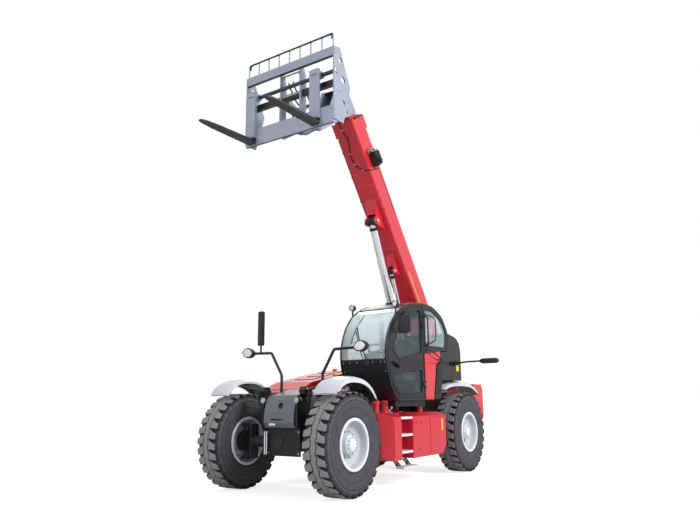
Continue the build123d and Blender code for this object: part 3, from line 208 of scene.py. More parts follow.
def surface(name, colour, rough, metal=0.0, coat=0.0, spread=0.12, grain=3.0, peel=0.0, peel_scale=350.0,
            grime=None, stretch=(1, 1, 1), rough_spread=0.08, spec=0.5, bands=(), under=None):
    """A principled material with mottled colour, uneven roughness, fine bump and grime in patches.

    grime is (colour, level). bands are second colours, each kept to a box given as (axis, low, high) in the
    object's metres. under is the colour of faces that look down: painted shade on the undersides.
    """
    mat, tree, bsdf = principled(name, Metallic=metal, Coat_Weight=coat, Coat_Roughness=0.08, Specular_IOR_Level=spec)
    coordinates = object_coordinates(tree)
    place = node(tree, "Mapping", {"Scale": stretch, "Vector": coordinates}).outputs[0]

    def noise(scale, detail=4.0, roughness=0.55):
        values = {"Scale": scale, "Detail": detail, "Roughness": roughness, "Vector": place}
        return node(tree, "TexNoise", values).outputs["Fac"]

    low = [c * (1 - spread) for c in colour]
    high = [min(1.0, c * (1 + 0.6 * spread)) for c in colour]
    base = ramp(tree, noise(grain), 0.3, 0.7, low, high)
    if grime:
        dirt, amount = grime
        patch = ramp(tree, noise(2.4, 5.0, 0.6), 0.5, 0.85, (0, 0, 0), (1, 1, 1))
        base = lay_over(tree, calc(tree, "MULTIPLY", patch, 0.6 * amount), base, dirt)
    for limits, tone in bands:
        xyz = split(tree, coordinates)
        inside = [calc(tree, "COMPARE", xyz[axis], (near + far) / 2, (far - near) / 2) for axis, near, far in limits]
        base = lay_over(tree, reduce(lambda a, b: calc(tree, "MULTIPLY", a, b), inside), base, tone)
    if under:
        normal = split(tree, node(tree, "NewGeometry").outputs["Normal"])
        base = lay_over(tree, calc(tree, "LESS_THAN", normal[2], -0.05), base, under)
    tree.links.new(base, bsdf.inputs["Base Color"])
    smoothest, roughest = max(0.02, rough - rough_spread), min(1.0, rough + rough_spread)
    sheen = ramp(tree, noise(14.0, 5.0), 0.3, 0.7, (smoothest,) * 3, (roughest,) * 3)
    tree.links.new(sheen, bsdf.inputs["Roughness"])
    if peel:
        bump(tree, bsdf, noise(peel_scale, 3.0), peel, 0.001)
    return mat


DARK = (0.020, 0.021, 0.024)
LIGHT_GREY = (0.34, 0.37, 0.46)
CROSS_BARS = (1, -1.281, 0.476)         # reach of the carriage's two dark bars across the machine
RED = surface("red_paint", (0.64, 0.020, 0.036), 0.34, rough_spread=0.0, coat=0.3, spread=0.05, spec=0.4,
              grime=((0.46, 0.012, 0.02), 0.4))
# a lighter red for the weld beads: painted highlight on their crests
SEAM_HIGHLIGHT = surface("seam_highlight_paint", (0.78, 0.06, 0.08), 0.3, coat=0.6, spread=0.05)
BLACK = surface("black_paint", (0.011, 0.011, 0.014), 0.38, coat=0.06, spread=0.2, peel=0.04, peel_scale=60,
                spec=0.3, grime=((0.030, 0.030, 0.030), 0.5))
# faces of the carriage that look down get a near-black: painted shade
GREY = surface("carriage_paint", LIGHT_GREY, 0.36, metal=0.25, spread=0.06, under=(0.045, 0.047, 0.058),
               grime=((0.26, 0.27, 0.31), 0.5),
               bands=[([(0, 1.784, 1.852), CROSS_BARS, (2, 5.960, 6.070)], DARK),
                      ([(0, 1.846, 1.918), CROSS_BARS, (2, 6.131, 6.203)], (0.07, 0.07, 0.075))])
GUARD = surface("guard_paint", LIGHT_GREY, 0.36, metal=0.25, spread=0.06, peel=0.06, grime=(DARK, 0.1),
                bands=[([(2, 6.752, 6.9)], DARK)])
COVER = surface("cover_paint", (0.125, 0.13, 0.155), 0.36, metal=0.2, coat=0.25, spread=0.08, peel=0.05,
                peel_scale=80, grime=((0.09, 0.09, 0.10), 0.4))
# faces of the fenders that look down get a near-black: painted shade
SILVER = surface("fender_paint", (0.62, 0.63, 0.68), 0.30, coat=0.3, spread=0.05,
                 grime=((0.44, 0.45, 0.49), 0.5), under=(0.020, 0.021, 0.023))
RIM = surface("rim_paint", (0.70, 0.72, 0.76), 0.33, coat=0.25, spread=0.05, peel=0.06,
              grime=((0.46, 0.46, 0.47), 0.5))
RIM_EDGE = surface("rim_edge_paint", (0.86, 0.87, 0.90), 0.30, coat=0.3, spread=0.04, peel=0.05)
# a darker grey for the rim's dished hollow: painted shade
DISH_SHADE = surface("rim_dish_painted_shade", (0.54, 0.56, 0.60), 0.36, coat=0.2, spread=0.08, peel=0.04,
               grime=((0.40, 0.41, 0.43), 0.5))
FORK = surface("fork_paint", (0.030, 0.030, 0.033), 0.42, metal=0.35, spread=0.3, grain=9, peel=0.25,
               peel_scale=120, grime=((0.09, 0.088, 0.085), 0.6), stretch=(1, 3, 1),
               bands=[([(2, 5.425, 7.0)], LIGHT_GREY)])
CASTING = surface("cast_paint", (0.022, 0.023, 0.026), 0.52, metal=0.2, spread=0.3, grain=8, peel=0.25,
                  peel_scale=110, grime=((0.06, 0.055, 0.048), 0.6))
CHROME = surface("chrome_rod", (0.86, 0.85, 0.88), 0.28, metal=1.0, spread=0.03, grain=6,
                 stretch=(1, 1, 0.3), rough_spread=0.04, peel=0.01, peel_scale=600)
PLASTIC = surface("black_plastic", (0.018, 0.018, 0.020), 0.5, spread=0.25, peel=0.12, peel_scale=160, spec=0.35)
ALU = surface("step_metal", (0.80, 0.81, 0.84), 0.34, metal=0.1, spread=0.08, grain=12, peel=0.3, peel_scale=90,
              grime=((0.5, 0.5, 0.5), 0.5), bands=[([(2, 0.2895, 0.400)], DARK)])
STEEL = surface("zinc_bolt", (0.45, 0.45, 0.46), 0.38, metal=0.9, spread=0.15, grain=25)
HOSE = surface("hose_rubber", (0.014, 0.014, 0.015), 0.5, spread=0.25, peel=0.3, peel_scale=700)
YELLOW = surface("blank_yellow", (0.80, 0.55, 0.02), 0.4, spread=0.06, peel=0.05)
WHITE = surface("mirror_shell_white", (0.80, 0.81, 0.82), 0.30, coat=0.3, spread=0.04)
ENGINE = surface("engine_paint", (0.13, 0.13, 0.125), 0.5, metal=0.3, spread=0.25, peel=0.4, peel_scale=90,
                 grime=((0.05, 0.045, 0.04), 0.5))


def tyre_rubber():
    """Rubber that is lighter grey on the lugs' faces and dark on the walls, with painted shade darkening the gaps
    between lugs.
    """
    mat = surface("tyre_rubber", (0.062, 0.063, 0.070), 0.66, spread=0.18, grain=10, peel=0.2, peel_scale=130,
                  grime=((0.095, 0.092, 0.088), 0.6), spec=0.35)
    tree = mat.node_tree
    bsdf = tree.nodes["Principled BSDF"]
    tone = bsdf.inputs["Base Color"].links[0].from_socket
    xyz = split(tree, object_coordinates(tree))
    in_plane = node(tree, "CombineXYZ", {0: xyz[0], 2: xyz[2]}).outputs[0]
    radius = node(tree, "VectorMath", {0: in_plane}, operation="LENGTH").outputs["Value"]
    # three thin darker rings and one thin lighter ring on the wall, by radius
    for middle, half, colour in ((0.364, 0.006, (0.020, 0.020, 0.022)), (0.480, 0.005, (0.030, 0.030, 0.033)),
                                 (0.577, 0.005, (0.022, 0.022, 0.024)), (0.597, 0.003, (0.13, 0.13, 0.14))):
        tone = lay_over(tree, calc(tree, "COMPARE", radius, middle, half), tone, colour)
    # by radius: painted shade deepening into the lug gaps, then the lugs' faces lighter grey
    for low, high, colour in ((0.604, 0.655, (0.012, 0.012, 0.013)), (0.668, 0.681, (0.24, 0.235, 0.235))):
        tone = lay_over(tree, rescale(tree, radius, low, high), tone, colour)
    tree.links.new(tone, bsdf.inputs["Base Color"])
    return mat


def glassy(name, tint, alpha, rough=0.03, glare=None):
    """Tinted glazing under a light film of dust; glare, as (low, high, most), is a painted reflection that whitens it
    towards the top.
    """
    mat, tree, bsdf = principled(name, Roughness=rough, Specular_IOR_Level=0.6)
    coordinates = object_coordinates(tree)
    dust = node(tree, "TexNoise", {"Scale": 2.2, "Detail": 6, "Vector": coordinates}).outputs["Fac"]
    colour = ramp(tree, dust, 0.35, 0.7, [c * 0.9 for c in tint], [min(1, c * 1.08) for c in tint])
    tree.links.new(colour, bsdf.inputs["Base Color"])
    film = rescale(tree, dust, 0.3, 0.8, alpha, min(1.0, alpha + 0.12))
    if glare:
        low, high, most = glare
        film = calc(tree, "ADD", film, rescale(tree, split(tree, coordinates)[2], low, high, 0.0, most))
    tree.links.new(film, bsdf.inputs["Alpha"])
    return mat


def fabric(name, colour, threads):
    """Woven cloth with a light sheen."""
    mat = surface(name, colour, 0.88, spread=0.2, grain=30, spec=0.25)
    tree = mat.node_tree
    bsdf = tree.nodes["Principled BSDF"]
    bsdf.inputs["Sheen Weight"].default_value = 0.35
    weave = {"Scale": threads, "Distortion": 0.6, "Vector": object_coordinates(tree)}
    waves = [node(tree, "TexWave", weave, bands_direction=axis).outputs["Fac"] for axis in ("X", "Z")]
    bump(tree, bsdf, calc(tree, "MULTIPLY", *waves), 0.5, 0.0015)
    return mat


RUBBER = tyre_rubber()
GLASS = glassy("cab_glazing", (0.60, 0.76, 0.80), 0.20)
DOOR_GLASS = glassy("door_glazing", (0.10, 0.14, 0.15), 0.16)
# the windscreen's pale tint and its glare are painted reflection of the sky
SHEEN = glassy("windscreen_painted_reflection", (0.80, 0.92, 0.99), 0.26, glare=(1.95, 2.62, 0.58))
LENS = glassy("lamp_lens", (0.85, 0.88, 0.90), 0.45, 0.08)
TAIL_LENS = surface("tail_lens", (0.55, 0.01, 0.015), 0.2, coat=0.6, spread=0.12, peel=0.3, peel_scale=160)
CLOTH = fabric("seat_fabric", (0.075, 0.13, 0.145), 300.0)

# the paint of the CAD's own pieces; those not named here are plastic
PAINTED = (
    (RED, "boom_section_1 boom_section_2 boom_section_3 boom_section_4 counterweight "
          "engine_bay engine_hood side_tank"),
    (BLACK, "cab_door cab_shell chassis_frame door_hinges rear_panel front_left_mirror front_right_mirror "
            "lift_cylinder_barrel compensation_cylinder_barrel tilt_cylinder_barrel"),
    (CHROME, "lift_cylinder_rod compensation_cylinder_rod tilt_cylinder_rod"),
    (CASTING, "front_axle rear_axle"), (GREY, "boom_nose fork_carriage"), (FORK, "left_fork right_fork"),
    (GUARD, "load_guard"), (COVER, "front_cover"), (ENGINE, "engine_block"), (ALU, "access_steps"),
    (GLASS, "cab_glass"), (DOOR_GLASS, "door_glass"),
)
paint_of = {name: mat for mat, names in PAINTED for name in names.split()}
for wheel, _, _ in WHEELS:
    for part, mat in (("_tyre", RUBBER), ("_rim", RIM), ("_knuckle", CASTING), ("_fender", SILVER)):
        paint_of[wheel + part] = mat
for name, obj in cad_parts.items():
    if not obj.material_slots:
        obj.data.materials.append(None)
    for holder in obj.material_slots:
        holder.link = "OBJECT"
        holder.material = paint_of.get(name, PLASTIC)


# ------------------------------------------------------------------ builders
SHARP = math.radians(32)         # edges steeper than this stay sharp


def hang(obj, body):
    """Hang a finished object on its body."""
    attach(obj, body)
    return obj


def put(name, bm, mat, body="chassis", at=None):
    """Turn a filled bmesh into a piece that rides on a body."""
    bmesh.ops.recalc_face_normals(bm, faces=bm.faces)
    mesh = bpy.data.meshes.new(name)
    bm.to_mesh(mesh)
    bm.free()
    mesh.materials.append(mat)
    mesh.shade_smooth()
    mesh.set_sharp_from_angle(angle=SHARP)
    obj = link(bpy.data.objects.new(name, mesh))
    if at is not None:
        obj.location = at
        bpy.context.view_layer.update()
    return hang(obj, body)


@contextmanager
def piece(name, mat, body="chassis", slot=None):
    """An empty bmesh to fill in a with block, after which it is put on its body."""
    bm = bmesh.new()
    yield bm
    put(name, bm, mat, body)


def round_edges(bm, edges, offset, **more):
    bmesh.ops.bevel(bm, geom=edges, offset=offset, affect="EDGES", clamp_overlap=True, **more)


def block(bm, x0, x1, y0, y1, z0, z1, bevel=0.003):
    """A box with rounded edges between limits in machine millimetres."""
    low, high = M(min(x0, x1), min(y0, y1), min(z0, z1)), M(max(x0, x1), max(y0, y1), max(z0, z1))
    place = Matrix.Translation((high + low) / 2) @ Matrix.Diagonal((*(high - low), 1))
    made = bmesh.ops.create_cube(bm, size=1.0, matrix=place)
    round_edges(bm, list({e for v in made["verts"] for e in v.link_edges}), bevel, segments=2)


def turned(bm, start, axis, profile, seg=28):
    """A turned piece: profile is (distance along the axis, radius) in metres."""
    start, axis = Vector(start), Vector(axis).normalized()
    turn = axis.to_track_quat("Z", "Y").to_matrix()
    rings = []
    for rise, radius in profile:
        if radius <= 1e-6:
            rings.append([bm.verts.new(start + axis * rise)])
            continue
        rings.append([bm.verts.new(start + turn @ Vector((radius * math.cos(a), radius * math.sin(a), rise)))
                      for a in round_angles(seg)])
    for a, b in zip(rings, rings[1:]):
        for k in range(seg):
            n = (k + 1) % seg
            if len(a) == 1 and len(b) == 1:
                break
            if len(a) == 1:
                bm.faces.new((a[0], b[k], b[n]))
            elif len(b) == 1:
                bm.faces.new((a[k], a[n], b[0]))
            else:
                bm.faces.new((a[k], a[n], b[n], b[k]))


def round_angles(count, shift=0):
    return [2 * math.pi * (k + shift) / count for k in range(count)]


def bolt(bm, place, axis, radius):
    """A hexagon head on a washer."""
    head, washer = radius * 0.75, radius * 0.22
    turned(bm, place, axis, [(0, 0), (0, radius * 1.5), (washer, radius * 1.5), (radius * 0.24, 0)], 20)
    turned(bm, Vector(place) + Vector(axis).normalized() * radius * 0.22, axis,
           [(0, 0), (0, radius), (head * 0.85, radius), (head, radius * 0.86), (head, 0)], 6)


def prism(bm, outline, origin, axes, depth, bevel=0.0):
    """A flat outline in the plane of the first two axes, pushed along the third."""
    across, up, push = (Vector(axis) for axis in axes)
    base = [bm.verts.new(Vector(origin) + across * a + up * b) for a, b in outline]
    top = [bm.verts.new(v.co + push * depth) for v in base]
    faces = [bm.faces.new(base), bm.faces.new(list(reversed(top)))]
    n = len(base)
    for k in range(n):
        faces.append(bm.faces.new((base[k], top[k], top[(k + 1) % n], base[(k + 1) % n])))
    if bevel:
        round_edges(bm, list({e for f in faces[:2] for e in f.edges}), bevel, segments=2)


def rect(half_wide, half_high):
    """Outline of a rectangle round the origin."""
    return [(-half_wide, -half_high), (half_wide, -half_high), (half_wide, half_high), (-half_wide, half_high)]


def plate(wide, high, low=0):
    """Outline of a rectangle that runs from the origin, or from low."""
    return [(0, low), (wide, low), (wide, high), (0, high)]


def octagon(x_in, y_out, x_out, y_in):
    """Outline of a rectangle with cut corners round the origin."""
    return [(-x_in, -y_out), (x_in, -y_out), (x_out, -y_in), (x_out, y_in),
            (x_in, y_out), (-x_in, y_out), (-x_out, y_in), (-x_out, -y_in)]


def sheet(bm, rows):
    """Faces over an open grid of points, row by row."""
    grid = [[bm.verts.new(point) for point in row] for row in rows]
    for a, b in zip(grid, grid[1:]):
        for k in range(len(a) - 1):
            bm.faces.new((a[k], b[k], b[k + 1], a[k + 1]))


def loft(bm, rows):
    """Faces between closed loops of points; the loops of vertices are given back for the ends."""
    loops = [[bm.verts.new(point) for point in row] for row in rows]
    for a, b in zip(loops, loops[1:]):
        for k in range(len(a)):
            n = (k + 1) % len(a)
            bm.faces.new((a[k], a[n], b[n], b[k]))
    return loops


def close_ends(bm, loops):
    bm.faces.new(loops[0])
    bm.faces.new(list(reversed(loops[-1])))


def tube(name, points, radius, mat, body="chassis", closed=False):
    """A round line through points, as a curve with thickness: smooth, or closed and straight from point to point.

    Points that are plain tuples are in machine millimetres.
    """
    data = bpy.data.curves.new(name, "CURVE")
    data.dimensions = "3D"
    data.bevel_depth = radius
    data.bevel_resolution = 2 if closed else 3
    data.resolution_u = 8
    data.use_fill_caps = not closed
    line = data.splines.new("POLY" if closed else "NURBS")
    line.points.add(len(points) - 1)
    for spot, point in zip(line.points, points):
        spot.co = (*(M(*point) if isinstance(point, tuple) else point), 1)
    if closed:
        line.use_cyclic_u = True
    else:
        line.order_u = 3
        line.use_endpoint_u = True
    data.materials.append(mat)
    return hang(link(bpy.data.objects.new(name, data)), body)


def soft(value, low, high):
    """0 below low, 1 above high and a smooth step between."""
    w = min(1.0, max(0.0, (value - low) / (high - low)))
    return w * w * (3 - 2 * w)


# ------------------------------------------------------------------ wheels
LUGS, STEPS = 29, 16             # lugs on each side of the tread, and steps of the mesh for each lug
TREAD_HALF, TREAD_RADIUS = 165.0, 685.0
RINGS = ((374, 9, 6.0), (452, 7, 3.0), (588, 7, 3.5))    # raised rings of the wall: radius, width, height


def tyre_profile():
    """(axial, radius, groove depth, on the tread) across the tyre, in millimetres."""
    side = [(168.0, 318.0, 0, False)]
    for k in range(17):
        w = k / 16
        rad = 345 + 316 * w
        axial = 168 + 11 * w + 4 * 18.7 * w * (1 - w)
        for centre, width, rise in RINGS:
            axial += rise * math.exp(-((rad - centre) / width) ** 2)
        side.append((axial, rad, 34 * max(0.0, (rad - 590) / 71), False))
    side += [(174.0, 675.0, 36, False), (TREAD_HALF, 684.0, 38, True)]
    tread = [(TREAD_HALF - 2 * TREAD_HALF * k / 50, TREAD_RADIUS, 38, True) for k in range(1, 50)]
    return side + tread + [(-axial, *rest) for axial, *rest in reversed(side)]


def zigzag(p):
    return 2 * abs(2 * (p - math.floor(p + 0.5))) - 1


def lug_gap(phase, axial, depth):
    """Depth of the curved gaps between lugs, which widen to the shoulder."""
    w = abs(axial) / TREAD_HALF
    stagger = 0.0 if axial > 0 else 0.5
    bow = 0.42 * (1 - w) ** 2 - 0.10 * w
    off = (phase + stagger + bow) % 1.0
    off = min(off, 1 - off)
    half = 0.06 + 0.145 * soft(w, 0.30, 0.95)
    return (1 - soft(off, half - 0.05, half + 0.025)) * soft(w, 0.30, 0.38) * depth


def make_tyre(wheel, axle_x, hand):
    rows = tyre_profile()
    count, n = LUGS * STEPS, len(rows)
    verts, faces = [], []
    for k in range(count):
        phase = k / STEPS
        angle = 2 * math.pi * k / count
        for axial, rad, depth, on_tread in rows:
            cut = lug_gap(phase, axial, depth)
            if on_tread:
                groove = 45 + 9 * zigzag(phase + (0.25 if axial > 0 else 0.0))
                cut = max(cut, 18 * (1 - soft(abs(abs(axial) - groove), 4.0, 8.0)))
                r_now, a_now = rad - cut, axial
            else:
                slope = soft(rad, 600, 680)
                r_now = rad - cut * (0.35 + 0.65 * slope)
                a_now = axial - math.copysign(cut * 0.55 * (1 - 0.5 * slope), axial)
            verts.append((r_now / 1000 * math.sin(angle), a_now / 1000, r_now / 1000 * math.cos(angle)))
        after = (k + 1) % count
        faces += [(k * n + j, k * n + j + 1, after * n + j + 1, after * n + j) for j in range(n - 1)]
    mesh = bpy.data.meshes.new(wheel + "_tread_tyre")
    mesh.from_pydata(verts, [], faces)
    mesh.validate()
    bm = bmesh.new()
    bm.from_mesh(mesh)
    tyre = put(wheel + "_tread_tyre", bm, RUBBER, wheel + "_wheel", at=M(axle_x, hand * TRACK_HALF, AXLE_Z))
    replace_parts(tyre, wheel + "_tyre")


def make_hub(wheel, axle_x, hand):
    """Hub cover, nuts, lock ring, dish and valve on a wheel's outer side."""
    body = wheel + "_wheel"
    out = Vector((0, hand, 0))
    centre = M(axle_x, hand * TRACK_HALF, AXLE_Z)

    def spot(radius, angle, rise):
        return centre + out * (rise / 1000) + Vector((math.sin(angle), 0, math.cos(angle))) * (radius / 1000)

    # six-lobed planetary cover
    lobes = [((104 + 9 * math.cos(6 * a)) / 1000 * math.cos(a), (104 + 9 * math.cos(6 * a)) / 1000 * math.sin(a))
             for a in round_angles(72)]
    with piece(wheel + "_hub_cover", RIM_EDGE, body) as bm:
        prism(bm, lobes, centre + out * 0.124, (FORE, UPW, out), 0.018, 0.003)
        turned(bm, centre + out * 0.142, out,
               [(0, 0.072), (0.012, 0.068), (0.018, 0.045), (0.022, 0.030), (0.022, 0)], 40)
        turned(bm, centre + out * 0.164, out, [(0, 0), (0, 0.016), (0.007, 0.014), (0.008, 0)], 6)
    with piece(wheel + "_wheel_nuts", STEEL, body, "rim_silver") as bm:
        for k, a in enumerate(round_angles(12)):
            bolt(bm, spot(96 if k % 2 else 99, a, 142), out, 0.0085)
        for a in round_angles(12, 0.5):
            turned(bm, spot(174, a, 45), out, [(0, 0), (0, 0.020), (0.008, 0.0165), (0.009, 0.0150)], 20)
            turned(bm, spot(174, a, 53), out, [(0, 0), (0, 0.0155), (0.018, 0.0155), (0.021, 0.012), (0.021, 0)], 6)
            turned(bm, spot(174, a, 72), out, [(0, 0.0075), (0.011, 0.0075), (0.012, 0.006), (0.012, 0)], 14)
    with piece(wheel + "_lock_ring", RIM_EDGE, body) as bm:
        turned(bm, centre + out * 0.1825, out,
               [(-0.004, 0.322), (0.003, 0.326), (0.006, 0.333), (0.003, 0.340), (-0.004, 0.342)], 96)
        turned(bm, centre + out * 0.172, out, [(0, 0.3075), (0.006, 0.3105), (0.002, 0.3145), (-0.004, 0.3155)], 96)
        turned(bm, centre, out, [(0.1828, 0.3445), (0.1832, 0.330), (0.1828, 0.309)], 96)
    # a darker sheet laid over the rim's dished hollow: painted shade
    with piece(wheel + "_dish", DISH_SHADE, body) as bm:
        turned(bm, centre, out,
               [(0.150, 0.3005), (0.112, 0.2935), (0.0775, 0.2765), (0.048, 0.2035), (0.0475, 0.142)], 96)
    valve, lean = 2.2, 0.25              # angle round the rim, and how far the valve leans to the hub
    with piece(wheel + "_valve", HOSE, body) as bm:
        turned(bm, spot(286, valve, 84), (-lean * math.sin(valve), hand, -lean * math.cos(valve)),
               [(0, 0), (0, 0.006), (0.03, 0.005), (0.034, 0.0065), (0.052, 0.0065), (0.055, 0)], 14)


for place in WHEELS:
    make_tyre(*place)
    make_hub(*place)


# ------------------------------------------------------------------ boom dressing
with piece("boom_side_plugs", HOSE, "boom") as bm:
    for hand in BOTH:
        for s in (3990, 3816, 3640, 3466, 3303):
            turned(bm, B(s, -165, hand * 204.6), (0, hand, 0),
                   [(0, 0.018), (0.0025, 0.017), (0.0015, 0.012), (0.0008, 0)], 24)
with piece("boom_underside_plugs", RED, "boom") as bm:
    for s, y, rad in ((4072, -40, 0.058), (2812, -50, 0.046), (1700, 0, 0.046)):
        turned(bm, B(s, -199.5, y), -SQUARE, [(0, rad * 1.12), (0.004, rad * 1.1), (0.0045, rad), (0.002, rad * 0.97),
                                              (0.0055, rad * 0.9), (0.006, 0)], 40)

# doubler plates outlined by weld beads, wrapping from the underside on to the sides; the beads' lighter red is a
# painted highlight
for name, middle, bulge in (("upper", 4130, 62), ("middle", 2842, 42), ("head", 4410, 0)):
    bead = [B(middle + bulge * math.cos(math.pi * y / 380) ** 2, -201.5, y) for y in range(-176, 177, 22)]
    tube("boom_weld_" + name, bead, 0.0055, SEAM_HIGHLIGHT, "boom")
    for hand, word in HANDS:
        bead = [B(middle + 6 * math.sin(t / 40), t, hand * 206) for t in range(-168, -20, 18)]
        tube("boom_weld_%s_%s" % (name, word), bead, 0.0045, SEAM_HIGHLIGHT, "boom")

# long grooves high on the sides of the head half, drawn as dark lines: painted shade in the grooves
for hand, word in HANDS:
    groove = [B(s, t, hand * 205.5) for s, t in ((4300, 150), (4250, 158), (3800, 160), (3420, 160), (3360, 150))]
    tube("boom_side_groove_shade_" + word, groove, 0.0045, HOSE, "boom")

# long seams, and the thin stripes along the sides: name, paint, lines (s, t, y), length, half width, height, bevel
SIDE_LINES = (
    ("boom_corner_seams", RED, ((700, 186, 204.1), (700, -187, 204.1)), 4.41, 0.003, 0.0026, 0.001),
    # the slit is a dark strip: painted shade in it
    ("boom_slit_shade_lines", HOSE, ((3400, 150, 204.8),), 0.86, 0.004, 0.0012, 0.0),
    ("boom_side_stripe", YELLOW, ((1150, -95, 204.8),), 1.15, 0.009, 0.0012, 0.0),
)
for name, mat, lines, length, half, height, bevel in SIDE_LINES:
    with piece(name, mat, "boom") as bm:
        for hand in BOTH:
            for s, t, y in lines:
                prism(bm, plate(length, half, -half), B(s, t, hand * y), (ALONG, SQUARE, (0, hand, 0)), height, bevel)

with piece("collar_bolts", STEEL, "boom") as bm:
    for hand in BOTH:
        for s, t in ((5147, -190), (5210, -121), (5210, 41), (5150, 117), (5340, -150), (5340, 150)):
            bolt(bm, B(s, t, hand * 229), (0, hand, 0), 0.008)

# valve box with its bracket, on the left of the boom head
BOX = (4430, -50)                # s and t of the box's lower corner
with piece("boom_valve_box", PLASTIC, "boom") as bm:
    prism(bm, [(0, 0), (0.25, 0), (0.27, 0.03), (0.27, 0.15), (0.24, 0.18), (0.03, 0.18), (0, 0.15)],
          B(*BOX, 222), BOOM_LEFT, 0.12, 0.008)
    for k in range(6):
        prism(bm, plate(0.012, 0.15), B(4450 + k * 38, -36, 340), BOOM_LEFT, 0.014, 0.003)
    turned(bm, B(4520, 35, 355), LEFT, [(0, 0), (0, 0.045), (0.022, 0.043), (0.03, 0.03), (0.03, 0)], 28)
with piece("boom_valve_bracket", STEEL, "boom") as bm:
    prism(bm, [(0.255, -0.03), (0.335, -0.03), (0.335, 0.20), (0.255, 0.20)],
          B(*BOX, 222), BOOM_LEFT, 0.008, 0.002)
    prism(bm, [(0.278, 0), (0.286, 0), (0.286, 0.16), (0.278, 0.16)],
          B(*BOX, 226), BOOM_LEFT, 0.10, 0.002)
    turned(bm, B(4730, -10, 228), LEFT, [(0, 0), (0, 0.022), (0.05, 0.022), (0.055, 0.016), (0.055, 0)], 24)
    turned(bm, B(4730, 80, 228), LEFT, [(0, 0), (0, 0.016), (0.06, 0.016), (0.065, 0.010), (0.065, 0)], 24)
with piece("boom_box_bracket", RED, "boom") as bm:
    prism(bm, [(0, 0), (0.40, 0), (0.40, 0.05), (0.31, 0.09), (0.31, 0.14), (0, 0.14)],
          B(4400, -30, 204), BOOM_LEFT, 0.006, 0.002)
    prism(bm, plate(0.025, 0.20), B(4755, -40, 204), BOOM_LEFT, 0.03, 0.003)
    for s in (4408, 4700):
        turned(bm, B(s, 20, 205), LEFT, [(0, 0), (0, 0.012), (0.02, 0.012), (0.02, 0)], 16)
with piece("boom_box_bolts", STEEL, "boom") as bm:
    for s, t in ((4420, -20), (4420, 90), (4690, -20), (4690, 60), (4790, 20)):
        bolt(bm, B(s, t, 210), LEFT, 0.009)

# hose clipped to the underside of the boom, from the head to the box, as (s, t, y)
HOSE_RUN = ((5384, -236, -50), (5328, -236, -44), (5200, -236, -24), (5112, -236, -8), (5096, -214, -4),
            (5016, -211, 0), (4900, -211, -40), (4803, -211, -66), (4700, -211, -66), (4625, -211, -52),
            (4550, -211, -24), (4491, -211, 24), (4455, -211, 90), (4436, -211, 150), (4428, -209, 200),
            (4422, -190, 216), (4410, -140, 219), (4390, -60, 219), (4368, 40, 219), (4359, 110, 221),
            (4350, 150, 222))
HEAD_LOOP = ((5372, 60, 225), (5378, 60, 262), (5384, 20, 282), (5390, -50, 286), (5394, -120, 280),
             (5390, -150, 262), (5384, -150, 225))
tube("boom_head_hose", [B(*p) for p in HOSE_RUN], 0.0095, HOSE, "boom")
tube("boom_head_loop", [B(*p) for p in HEAD_LOOP], 0.020, HOSE, "boom")
with piece("boom_hose_clips", STEEL, "boom") as bm:
    for s, y in ((5250, -32), (4803, -66), (4600, -44), (4462, 76)):
        t = -232 if s > 5120 else -206
        prism(bm, rect(0.010, 0.018), B(s, t - 3, y), (ALONG, LEFT, -SQUARE), 0.020, 0.004)
        bolt(bm, B(s, t + 5, y + 20), -SQUARE, 0.007)
# rigid pipes along the right lower edge
for k, t in enumerate((-172, -150)):
    tube("boom_pipe_%d" % (k + 1), [B(s, t, -216) for s in (900, 2000, 3500, 5090)], 0.0075, HOSE, "boom")
with piece("boom_pipe_clips", CASTING, "boom") as bm:
    for s in range(1000, 5100, 480):
        prism(bm, rect(0.016, 0.03), B(s, -161, -204), (ALONG, SQUARE, RIGHT), 0.022, 0.004)
        bolt(bm, B(s, -161, -226), RIGHT, 0.006)

# pin caps and bosses of the cylinders' clevises: s and t of the eye, then y and radius of the cap and of the boss
LIFT_EYE, COMPENSATION_EYE = (3520, -400), (2466, -365)
CLEVISES = ((*LIFT_EYE, (130, 0.044), (110, 0.068)), (*COMPENSATION_EYE, (86, 0.032), (73, 0.050)))
with piece("clevis_pin_caps", STEEL, "boom") as bm:
    for hand in BOTH:
        for s, t, (y, rad), _ in CLEVISES:
            turned(bm, B(s, t, hand * y), (0, hand, 0),
                   [(0, 0), (0, rad), (0.014, rad), (0.019, rad * 0.8), (0.0185, rad * 0.2), (0.016, 0)], 36)
with piece("clevis_bosses", RED, "boom") as bm:
    for hand in BOTH:
        for s, t, _, (y, rad) in CLEVISES:
            turned(bm, B(s, t, hand * y), (0, hand, 0),
                   [(0, rad), (0.011, rad), (0.014, rad * 0.93), (0.014, rad * 0.66), (0, rad * 0.66)], 40)
with piece("pivot_caps", CASTING) as bm:
    for hand in BOTH:
        turned(bm, M(PIVOT[0], hand * 300, PIVOT[1]), (0, hand, 0),
               [(0, 0.098), (0.010, 0.098), (0.014, 0.092), (0.014, 0.058), (0.022, 0.052), (0.022, 0)], 44)
        for a in round_angles(6):
            bolt(bm, M(PIVOT[0] + 78 * math.cos(a), hand * 313, PIVOT[1] + 78 * math.sin(a)), (0, hand, 0), 0.009)


